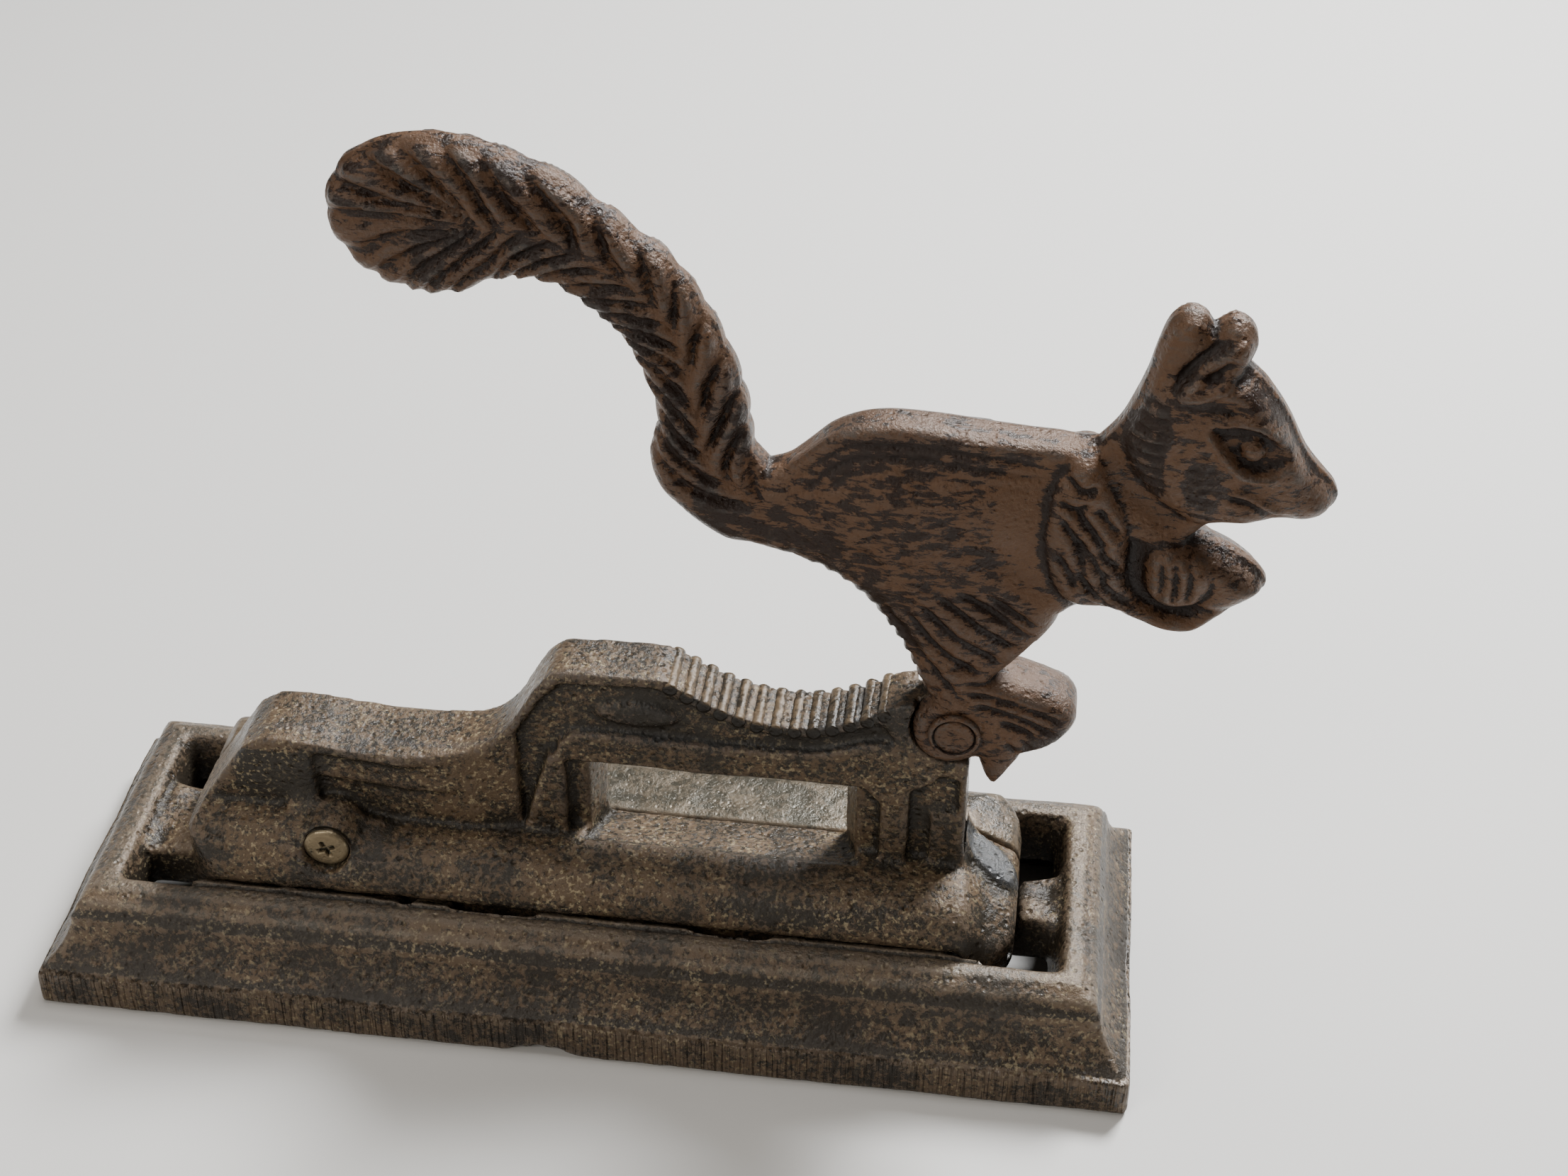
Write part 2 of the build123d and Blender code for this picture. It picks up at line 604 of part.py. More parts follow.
def base_screws():
    """The three screws that hold the log down, put in from below."""
    under = FLOOR_TOP - FLOOR_THICKNESS
    screws = []
    for x, y in BASE_SCREWS:
        head = plate(Pos(x, y) * Circle(BASE_HEAD_DIAMETER / 2), under - BASE_HEAD_THICKNESS, under)
        shank = plate(Pos(x, y) * Circle(CROSS_SHANK_DIAMETER / 2), under, BASE_SHANK_TOP)
        slot = plate(Pos(x, y) * Rectangle(BASE_HEAD_DIAMETER + 1, 1.2), 0, under - BASE_HEAD_THICKNESS + 1)
        screws.append(head + shank - slot)
    return Compound(screws)


NODES = {
    "base_plinth": base_plinth,
    "anvil_casting": anvil_casting,
    "log_rear_half": log_rear_half,
    "squirrel_lever": squirrel_lever,
    "pivot_pin": pivot_pin,
    "pivot_washers": pivot_washers,
    "cross_screw": cross_screw,
    "cross_nut": cross_nut,
    "base_screws": base_screws,
}

os.makedirs("parts", exist_ok=True)
for name, make in NODES.items():
    export_step(make(), f"parts/{name}.step")
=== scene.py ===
"""Looks of a cast-iron squirrel nutcracker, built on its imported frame. Sizes in this file are in millimetres."""

import logging
import math
from dataclasses import dataclass, field
from enum import Enum

import bmesh
import bpy
import numpy as np
from mathutils import Matrix, Vector
from mathutils.geometry import delaunay_2d_cdt


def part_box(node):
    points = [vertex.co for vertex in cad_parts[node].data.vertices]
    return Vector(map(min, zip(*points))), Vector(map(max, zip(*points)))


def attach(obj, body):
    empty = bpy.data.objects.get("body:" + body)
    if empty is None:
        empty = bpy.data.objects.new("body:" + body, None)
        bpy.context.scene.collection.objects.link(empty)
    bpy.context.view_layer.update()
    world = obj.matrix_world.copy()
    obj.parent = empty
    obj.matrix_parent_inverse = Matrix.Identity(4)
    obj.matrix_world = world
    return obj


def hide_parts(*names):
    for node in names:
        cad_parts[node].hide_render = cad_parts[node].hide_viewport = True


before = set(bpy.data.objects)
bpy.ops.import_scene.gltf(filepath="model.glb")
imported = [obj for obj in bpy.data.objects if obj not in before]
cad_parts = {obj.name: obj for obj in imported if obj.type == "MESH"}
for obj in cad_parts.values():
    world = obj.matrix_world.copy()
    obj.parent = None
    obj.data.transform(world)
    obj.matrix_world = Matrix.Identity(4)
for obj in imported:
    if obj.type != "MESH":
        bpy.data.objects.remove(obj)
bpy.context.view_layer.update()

MM = 0.001
LOG = logging.getLogger("nutcracker")
Points = list[tuple[float, float]]
Value = bpy.types.NodeSocket | float | tuple


class Body(Enum):
    """The two rigid bodies that pieces ride on."""

    STAND = "stand"
    SQUIRREL = "squirrel"


class Grain(Enum):
    """How coarse a casting's skin is, as the size of its grain."""

    FINE = 0.45
    MEDIUM = 0.7
    COARSE = 0.9


# ---- numbers on the surface ---------------------------------------------------
def noise(points: np.ndarray, size: float, seed: int = 0) -> np.ndarray:
    """Smooth random values that stay the same from run to run.

    Args:
        points: Places, one row each, in two or three dimensions.
        size: Width of one bump.
        seed: Which pattern to use.

    Returns:
        One value from -1 to 1 for each place.
    """
    spread = points / size + 19.7 * (seed + 1)
    cell = np.floor(spread).astype(np.int64)
    part = spread - cell
    part = part * part * (3 - 2 * part)
    primes = np.array([73856093, 19349663, 83492791])[: points.shape[1]]
    total = np.zeros(len(points))
    for corner in np.ndindex(*(2,) * points.shape[1]):
        mixed = ((cell + corner) * primes).sum(1) + 7919 * seed
        mixed = (mixed ^ (mixed >> 15)) * 2246822519 & 0xFFFFFFFF
        mixed = (mixed ^ (mixed >> 13)) * 3266489917 & 0xFFFFFFFF
        value = ((mixed ^ (mixed >> 16)) & 0xFFFF) / 32767.5 - 1
        weight = np.where(np.array(corner) == 1, part, 1 - part).prod(1)
        total += weight * value
    return total


def ease(value: np.ndarray, low: float, high: float) -> np.ndarray:
    """Values from 0 at low to 1 at high, with a soft start and end."""
    step = np.clip((value - low) / (high - low), 0, 1)
    return step * step * (3 - 2 * step)


def smooth_line(points: Points, step: float = 1.0) -> np.ndarray:
    """A curve through points, as short straight runs.

    Args:
        points: Places that the curve passes through.
        step: Length of a run.

    Returns:
        The places along the curve, both ends included.
    """
    knots = np.array(points, float)
    padded = np.vstack([2 * knots[0] - knots[1], knots, 2 * knots[-1] - knots[-2]])
    out = []
    for a, b, c, d in zip(padded[:-3], padded[1:-2], padded[2:-1], padded[3:]):
        count = max(1, int(np.hypot(*(c - b)) / step))
        t = (np.arange(count) / count)[:, None]
        out.append(
            0.5 * (2 * b + (c - a) * t + (2 * a - 5 * b + 4 * c - d) * t**2 + (3 * b - a - 3 * c + d) * t**3)
        )
    return np.vstack([*out, knots[-1:]])


def near_line(places: np.ndarray, line: np.ndarray) -> tuple[np.ndarray, np.ndarray, np.ndarray]:
    """How places lie beside a line.

    Args:
        places: Places in the side view.
        line: The line's corners.

    Returns:
        The distance from the line, the length along it, and the side, 1 on the left and -1 on the right.
    """
    nearest = np.full(len(places), 1e9)
    along = np.zeros(len(places))
    side = np.ones(len(places))
    passed = 0.0
    for a, b in zip(line[:-1], line[1:]):
        run = b - a
        length = float(np.hypot(*run)) or 1e-9
        t = np.clip((places - a) @ run / length**2, 0, 1)
        off = places - a - t[:, None] * run
        gap = np.hypot(off[:, 0], off[:, 1])
        closer = gap < nearest
        nearest[closer] = gap[closer]
        along[closer] = passed + t[closer] * length
        side[closer] = np.where(run[0] * off[:, 1] - run[1] * off[:, 0] >= 0, 1, -1)[closer]
        passed += length
    return nearest, along, side


def within(places: np.ndarray, ring: np.ndarray) -> np.ndarray:
    """Which places lie inside a closed ring of corners.

    Args:
        places: Places in the side view.
        ring: The ring's corners.

    Returns:
        True for each place inside.
    """
    inside = np.zeros(len(places), bool)
    for a, b in zip(ring, np.roll(ring, -1, 0)):
        if a[1] == b[1]:
            continue
        spans = (a[1] > places[:, 1]) != (b[1] > places[:, 1])
        cross = a[0] + (places[:, 1] - a[1]) * (b[0] - a[0]) / (b[1] - a[1])
        inside ^= spans & (places[:, 0] < cross)
    return inside


def closed_line(points: Points, step: float = 1.0) -> np.ndarray:
    """A closed smooth ring through points.

    Args:
        points: Places that the ring passes through.
        step: Length of a run.

    Returns:
        The places round the ring, the first not repeated.
    """
    around = [*points[-2:], *points, *points[:2]]
    line = smooth_line(around, step)
    start = np.argmin(np.hypot(*(line[: len(line) // 2] - points[0]).T))
    end = len(line) // 2 + np.argmin(np.hypot(*(line[len(line) // 2 :] - points[0]).T))
    return line[start:end]


def swell(places: np.ndarray, points: Points, height: float, reach: float, soft: bool = False) -> np.ndarray:
    """A raised pad with a rounded border.

    Args:
        places: Places in the side view.
        points: The pad's outline.
        height: How far it stands out.
        reach: Width of its rounded border.
        soft: Whether the border starts gently instead of steeply.

    Returns:
        The height at each place.
    """
    ring = closed_line(points)
    near = np.flatnonzero((places > ring.min(0)).all(1) & (places < ring.max(0)).all(1))
    out = np.zeros(len(places))
    if len(near):
        gap = near_line(places[near], np.vstack([ring, ring[:1]]))[0]
        depth = np.where(within(places[near], ring), np.clip(gap / reach, 0, 1), 0)
        out[near] = height * (ease(depth, 0, 1) if soft else np.sqrt(1 - (1 - depth) ** 2))
    return out


def stroke(places: np.ndarray, points: Points, width: float, height: float, fade: float = 2.0) -> np.ndarray:
    """A ridge, or a groove where the height is negative, along a curve.

    Args:
        places: Places in the side view.
        points: Places that the stroke passes through.
        width: Half its width.
        height: How far it stands out.
        fade: Length over which each end dies away.

    Returns:
        The height at each place.
    """
    line = smooth_line(points)
    low = line.min(0) - 3 * width
    high = line.max(0) + 3 * width
    near = np.flatnonzero((places > low).all(1) & (places < high).all(1))
    out = np.zeros(len(places))
    if len(near):
        gap, along, _ = near_line(places[near], line)
        length = np.hypot(*np.diff(line, axis=0).T).sum()
        ends = ease(along, -0.3 * fade, fade) * ease(length - along, -0.3 * fade, fade)
        out[near] = height * np.exp(-((gap / width) ** 2)) * ends
    return out


def strokes(places: np.ndarray, *rows: tuple) -> np.ndarray:
    """Several strokes together, each given as its points, width, height and, where it isn't usual, its fade."""
    return sum(stroke(places, *row) for row in rows)


# ---- meshes ---------------------------------------------------------------------
def mesh_object(name: str, corners: np.ndarray, faces: list, smooth: bool = True) -> bpy.types.Object:
    """A mesh object in the scene.

    Args:
        name: Name of the piece.
        corners: Its vertices, in metres.
        faces: Its faces, as lists of vertex numbers.
        smooth: Whether it is shaded smooth.

    Returns:
        The object, at the origin.
    """
    mesh = bpy.data.meshes.new(name)
    mesh.from_pydata(np.asarray(corners, float).tolist(), [], [list(map(int, f)) for f in faces])
    mesh.validate()
    if smooth:
        mesh.shade_smooth()
    else:
        mesh.shade_flat()
    obj = bpy.data.objects.new(name, mesh)
    bpy.context.scene.collection.objects.link(obj)
    return obj


def face_outwards(obj: bpy.types.Object, merge: float = 1e-6) -> None:
    """Merge a closed mesh's doubles and point its faces outwards.

    Args:
        obj: The mesh object.
        merge: Distance under which two vertices become one.
    """
    shape = bmesh.new()
    shape.from_mesh(obj.data)
    bmesh.ops.remove_doubles(shape, verts=shape.verts, dist=merge)
    bmesh.ops.recalc_face_normals(shape, faces=shape.faces)
    shape.to_mesh(obj.data)
    shape.free()
    obj.data.update()


def bake_modifiers(obj: bpy.types.Object) -> None:
    """Turn an object with modifiers into a plain mesh of the same name.

    Args:
        obj: The object.
    """
    bpy.context.view_layer.update()
    graph = bpy.context.evaluated_depsgraph_get()
    mesh = bpy.data.meshes.new_from_object(obj.evaluated_get(graph), depsgraph=graph)
    obj.modifiers.clear()
    obj.data = mesh


def corners_of(mesh: bpy.types.Mesh) -> np.ndarray:
    """A mesh's vertices as rows of metres.

    Args:
        mesh: The mesh.

    Returns:
        One row for each vertex.
    """
    flat = np.empty(3 * len(mesh.vertices))
    mesh.vertices.foreach_get("co", flat)
    return flat.reshape(-1, 3)


def normals_of(mesh: bpy.types.Mesh) -> np.ndarray:
    """A mesh's vertex normals as rows.

    Args:
        mesh: The mesh.

    Returns:
        One row for each vertex.
    """
    flat = np.empty(3 * len(mesh.vertices))
    mesh.vertices.foreach_get("normal", flat)
    return flat.reshape(-1, 3)


def place_corners(mesh: bpy.types.Mesh, corners: np.ndarray) -> None:
    """Write a mesh's vertices back."""
    mesh.vertices.foreach_set("co", corners.ravel())
    mesh.update()


def soften(mesh: bpy.types.Mesh, values: np.ndarray, rounds: int) -> np.ndarray:
    """Average values over neighbouring vertices, a number of times.

    Args:
        mesh: The mesh whose edges join the neighbours.
        values: One row for each vertex.
        rounds: How many times to average.

    Returns:
        The averaged values.
    """
    ends = np.empty(2 * len(mesh.edges), np.int64)
    mesh.edges.foreach_get("vertices", ends)
    a, b = ends.reshape(-1, 2).T
    degree = np.maximum(np.bincount(np.r_[a, b], minlength=len(values)), 1)[:, None]
    for _ in range(rounds):
        total = np.empty_like(values)
        for axis in range(values.shape[1]):
            total[:, axis] = np.bincount(a, values[b, axis], len(values)) + np.bincount(
                b, values[a, axis], len(values)
            )
        values = 0.4 * values + 0.6 * total / degree
    return values


def mark(mesh: bpy.types.Mesh, name: str, values: np.ndarray) -> None:
    """Store one value for each vertex under a name that materials read."""
    found = mesh.attributes.get(name) or mesh.attributes.new(name, "FLOAT", "POINT")
    found.data.foreach_set("value", np.asarray(values, np.float32))


def mark_relief(mesh: bpy.types.Mesh, depth: float, rounds: int, share: np.ndarray | float = 1.0) -> None:
    """Mark how deep each vertex lies in a hollow and how far it stands on a crest.

    Args:
        mesh: The mesh to mark.
        depth: Depth in millimetres that counts as fully hollow.
        rounds: How far around to look.
        share: How much of the hollow mark to keep.
    """
    corners = corners_of(mesh)
    rise = ((corners - soften(mesh, corners, rounds)) * normals_of(mesh)).sum(1) / (depth * MM)
    mark(mesh, "hollow", np.clip(-rise, 0, 1) * share)
    mark(mesh, "crest", np.clip(rise, 0, 1))


def lathe(name: str, centre: tuple, profile: Points, turns: int = 72) -> bpy.types.Object:
    """A round piece about a line along Y.

    Args:
        name: Name of the piece.
        centre: Where its axis crosses the side view, in metres.
        profile: Radius and Y of each ring, from one end of the axis to the other.
        turns: Number of steps around.

    Returns:
        The piece as a closed mesh.
    """
    angle = np.arange(turns) * 2 * np.pi / turns
    rings = [
        np.stack([centre[0] + r * MM * np.cos(angle), np.full(turns, y * MM), centre[1] + r * MM * np.sin(angle)], 1)
        for r, y in profile
    ]
    faces = []
    for ring in range(len(profile) - 1):
        for step in range(turns):
            after = (step + 1) % turns
            base = ring * turns
            faces.append((base + step, base + after, base + turns + after, base + turns + step))
    obj = mesh_object(name, np.vstack(rings), faces)
    face_outwards(obj)
    return obj


# ---- node trees -------------------------------------------------------------------
class Tree:
    """Short hand for building a node tree."""

    def __init__(self, tree: bpy.types.NodeTree) -> None:
        """Take the tree to build in."""
        self.tree = tree

    def add(self, kind: str, sockets: dict | None = None, **settings: object) -> bpy.types.Node:
        """Add a node.

        Args:
            kind: Its type name.
            sockets: Input name or number to a value, or to an output to link.
            settings: Its own properties.

        Returns:
            The node.
        """
        node = self.tree.nodes.new(kind)
        for key, value in settings.items():
            setattr(node, key, value)
        for key, value in (sockets or {}).items():
            if isinstance(value, bpy.types.NodeSocket):
                self.tree.links.new(value, node.inputs[key])
            else:
                node.inputs[key].default_value = value
        return node

    def math(self, how: str, a: Value, b: Value = 0.0, clamp: bool = False) -> bpy.types.NodeSocket:
        """One sum on two values or outputs."""
        node = self.add("ShaderNodeMath", {0: a, 1: b}, operation=how, use_clamp=clamp)
        return node.outputs[0]

    def ramp(self, value: Value, low: float, high: float) -> bpy.types.NodeSocket:
        """A soft step from 0 at low to 1 at high.

        Args:
            value: What the step follows.
            low: Where it starts.
            high: Where it ends.

        Returns:
            The output.
        """
        node = self.add(
            "ShaderNodeMapRange", {"Value": value, "From Min": low, "From Max": high}, interpolation_type="SMOOTHSTEP"
        )
        return node.outputs["Result"]

    def mix(self, share: Value, a: Value, b: Value, blend: str = "MIX") -> bpy.types.NodeSocket:
        """One colour mixed over another."""
        node = self.add("ShaderNodeMix", {0: share, 6: a, 7: b}, data_type="RGBA", blend_type=blend)
        return node.outputs[2]


def new_group(name: str, takes: dict, gives: dict) -> tuple[Tree, bpy.types.Node, bpy.types.Node]:
    """An empty shader group with named sockets.

    Args:
        name: Name of the group.
        takes: Input names to socket kinds.
        gives: Output names to socket kinds.

    Returns:
        The tree to build in, its input node and its output node.
    """
    group = bpy.data.node_groups.new(name, "ShaderNodeTree")
    for label, kind in takes.items():
        group.interface.new_socket(label, in_out="INPUT", socket_type=kind)
    for label, kind in gives.items():
        group.interface.new_socket(label, in_out="OUTPUT", socket_type=kind)
    return Tree(group), group.nodes.new("NodeGroupInput"), group.nodes.new("NodeGroupOutput")


def patina_group() -> bpy.types.NodeTree:
    """The worn brown patina over black iron, with tan flecks, rubbed crests lightened as a painted sheen, and painted
    shade in hollows.

    Returns:
        The group, which gives a colour, how brown each place is and how far it is rubbed and sheened.
    """
    value = "NodeSocketFloat"
    colour = "NodeSocketColor"
    tree, ins, outs = new_group(
        "worn_patina_and_painted_light",
        {
            "Place": "NodeSocketVector", "Dark": colour, "Brown": colour, "Fleck": colour, "Metal": colour,
            "Streak": "NodeSocketVector", "Brown Share": value, "Fleck Share": value, "Blotch Scale": value,
            "Contrast": value, "Hollow": value, "Crest": value, "Soot_And_Shade": value, "Polish_And_Sheen": value,
        },
        {"Color": colour, "Brownness": value, "Shine": value},
    )
    get = ins.outputs
    drawn = tree.add("ShaderNodeVectorMath", {0: get["Place"], 1: get["Streak"]}, operation="MULTIPLY").outputs[0]
    blotch = tree.add(
        "ShaderNodeTexNoise",
        {"Vector": drawn, "Scale": get["Blotch Scale"], "Detail": 7.0, "Roughness": 0.72, "Distortion": 0.4},
    ).outputs[0]
    wide = tree.add("ShaderNodeTexNoise", {"Vector": get["Place"], "Scale": 70.0, "Detail": 3.0}).outputs[0]
    speck = tree.add(
        "ShaderNodeTexNoise", {"Vector": get["Place"], "Scale": 1150.0, "Detail": 4.0, "Roughness": 0.6}
    ).outputs[0]
    level = tree.math("MULTIPLY", tree.math("SUBTRACT", blotch, 0.5), get["Contrast"])
    level = tree.math("ADD", level, get["Brown Share"])
    wider = tree.math("MULTIPLY", tree.math("SUBTRACT", wide, 0.5), 1.25)
    level = tree.math("ADD", level, wider)
    level = tree.math("SUBTRACT", level, tree.math("MULTIPLY", get["Hollow"], 1.3))
    # Darkened towards black by the dark mark; on the stand's castings that mark also carries painted shade on downward
    # faces.
    level = tree.math("SUBTRACT", level, tree.math("MULTIPLY", get["Soot_And_Shade"], 1.0))
    level = tree.math("ADD", level, tree.math("MULTIPLY", get["Crest"], 0.35))
    brown = tree.ramp(level, 0.30, 0.70)
    shade = tree.mix(brown, get["Dark"], get["Brown"])
    fleck = tree.ramp(speck, 0.53, 0.66)
    clear = tree.math("SUBTRACT", 1.0, get["Hollow"], clamp=True)
    patches = tree.ramp(wide, 0.35, 0.62)
    share = tree.math("MULTIPLY", clear, get["Fleck Share"])
    fleck = tree.math("MULTIPLY", tree.math("MULTIPLY", fleck, patches), share)
    shade = tree.mix(fleck, shade, get["Fleck"])
    # Painted shade: the colour is multiplied darker in hollows, where shade falls, beyond the patina's own dark.
    deep = tree.math("SUBTRACT", 1.0, tree.math("MULTIPLY", get["Hollow"], 0.45))
    shade = tree.mix(1.0, shade, deep, "MULTIPLY")
    # Crests and polished places mix towards the metal colour: rubbed bare metal, made lighter as a painted sheen.
    rub_and_sheen = tree.math("MULTIPLY", get["Crest"], tree.ramp(blotch, 0.42, 0.62))
    rub_and_sheen = tree.math("MAXIMUM", tree.math("MULTIPLY", rub_and_sheen, 0.72), get["Polish_And_Sheen"], clamp=True)
    shade = tree.mix(rub_and_sheen, shade, get["Metal"])
    tree.tree.links.new(shade, outs.inputs["Color"])
    tree.tree.links.new(brown, outs.inputs["Brownness"])
    tree.tree.links.new(rub_and_sheen, outs.inputs["Shine"])
    return tree.tree


def skin_group() -> bpy.types.NodeTree:
    """The pitted, grainy skin of sand-cast iron, as a height.

    Returns:
        The group, which gives the height.
    """
    value = "NodeSocketFloat"
    tree, ins, outs = new_group(
        "cast_skin", {"Place": "NodeSocketVector", "Grain": value, "Pits": value}, {"Height": value}
    )
    get = ins.outputs
    grain = tree.add(
        "ShaderNodeTexNoise", {"Vector": get["Place"], "Scale": get["Grain"], "Detail": 5.0, "Roughness": 0.62}
    ).outputs[0]
    cells = tree.add(
        "ShaderNodeTexVoronoi", {"Vector": get["Place"], "Scale": tree.math("MULTIPLY", get["Grain"], 0.42)}
    ).outputs["Distance"]
    pits = tree.math("MULTIPLY", tree.ramp(cells, 0.34, 0.02), get["Pits"])
    height = tree.math("SUBTRACT", grain, pits)
    tree.tree.links.new(height, outs.inputs["Height"])
    return tree.tree


@dataclass(frozen=True)
class IronFinish:
    """One casting's finish: colours in linear light, shares from 0 to 1."""

    name: str
    dark: tuple = (0.019, 0.0090, 0.0050)
    brown: tuple = (0.100, 0.050, 0.024)
    fleck: tuple = (0.30, 0.21, 0.125)
    metal: tuple = (0.185, 0.19, 0.205)
    brown_share: float = 0.62
    fleck_share: float = 0.25
    blotch: float = 480.0
    contrast: float = 2.2
    streak: tuple = (1.0, 1.0, 1.0)
    grain: Grain = Grain.MEDIUM
    bump: float = 0.35
    pits: float = 0.5
    rough_brown: float = 0.40
    rough_dark: float = 0.23
    metallic: float = 0.12
    filed: bool = False

    def build(self, patina: bpy.types.NodeTree, skin: bpy.types.NodeTree) -> bpy.types.Material:
        """Make the material.

        Args:
            patina: The shared colour group.
            skin: The shared surface group.

        Returns:
            The material, ready to put on a piece.
        """
        made = bpy.data.materials.new(self.name)
        made.use_nodes = True
        made.node_tree.nodes.clear()
        tree = Tree(made.node_tree)
        place = tree.add("ShaderNodeTexCoord").outputs["Object"]
        marks = {
            label: tree.add("ShaderNodeAttribute", attribute_name=label.lower()).outputs["Fac"]
            for label in ("Hollow", "Crest", "Soot_And_Shade", "Polish_And_Sheen")
        }
        colour = tree.add("ShaderNodeGroup", node_tree=patina)
        values = {
            "Place": place, "Dark": (*self.dark, 1), "Brown": (*self.brown, 1), "Fleck": (*self.fleck, 1),
            "Metal": (*self.metal, 1), "Brown Share": self.brown_share, "Fleck Share": self.fleck_share,
            "Blotch Scale": self.blotch, "Contrast": self.contrast, "Streak": self.streak, **marks,
        }
        surface = tree.add("ShaderNodeGroup", node_tree=skin)
        for node, wanted in (
            (colour, values),
            (surface, {"Place": place, "Grain": 1000 / self.grain.value, "Pits": self.pits}),
        ):
            for key, value in wanted.items():
                if isinstance(value, bpy.types.NodeSocket):
                    tree.tree.links.new(value, node.inputs[key])
                else:
                    node.inputs[key].default_value = value
        height = surface.outputs["Height"]
        if self.filed:
            stretch = tree.add("ShaderNodeMapping", {"Vector": place, "Scale": (950, 950, 40)}).outputs[0]
            lines = tree.add("ShaderNodeTexNoise", {"Vector": stretch, "Scale": 1.0, "Detail": 2.0}).outputs[0]
            band = tree.add("ShaderNodeSeparateXYZ", {"Vector": place}).outputs["Z"]
            low = tree.math("MULTIPLY", tree.ramp(band, 0.0088, 0.0076), 9.0)
            height = tree.math("ADD", height, tree.math("MULTIPLY", lines, low))
        bump = tree.add("ShaderNodeBump", {"Height": height, "Strength": self.bump, "Distance": 0.35 * MM})
        rough = tree.math("MULTIPLY", colour.outputs["Brownness"], self.rough_brown - self.rough_dark)
        rough = tree.math("ADD", rough, self.rough_dark)
        mottle = tree.add("ShaderNodeTexNoise", {"Vector": place, "Scale": 260.0, "Detail": 4.0}).outputs[0]
        rough = tree.math("ADD", rough, tree.math("MULTIPLY", tree.math("SUBTRACT", mottle, 0.5), 0.3))
        rough = tree.math("SUBTRACT", rough, tree.math("MULTIPLY", colour.outputs["Shine"], 0.16), clamp=True)
        metal = tree.math("MULTIPLY_ADD", colour.outputs["Shine"], 0.5)
        metal.node.inputs[2].default_value = self.metallic
        shader = tree.add(
            "ShaderNodeBsdfPrincipled",
            {
                "Base Color": colour.outputs["Color"], "Roughness": rough, "Metallic": metal,
                "Normal": bump.outputs[0], "Specular IOR Level": 0.30,
            },
        )
        tree.add("ShaderNodeOutputMaterial", {"Surface": shader.outputs[0]})
        return made


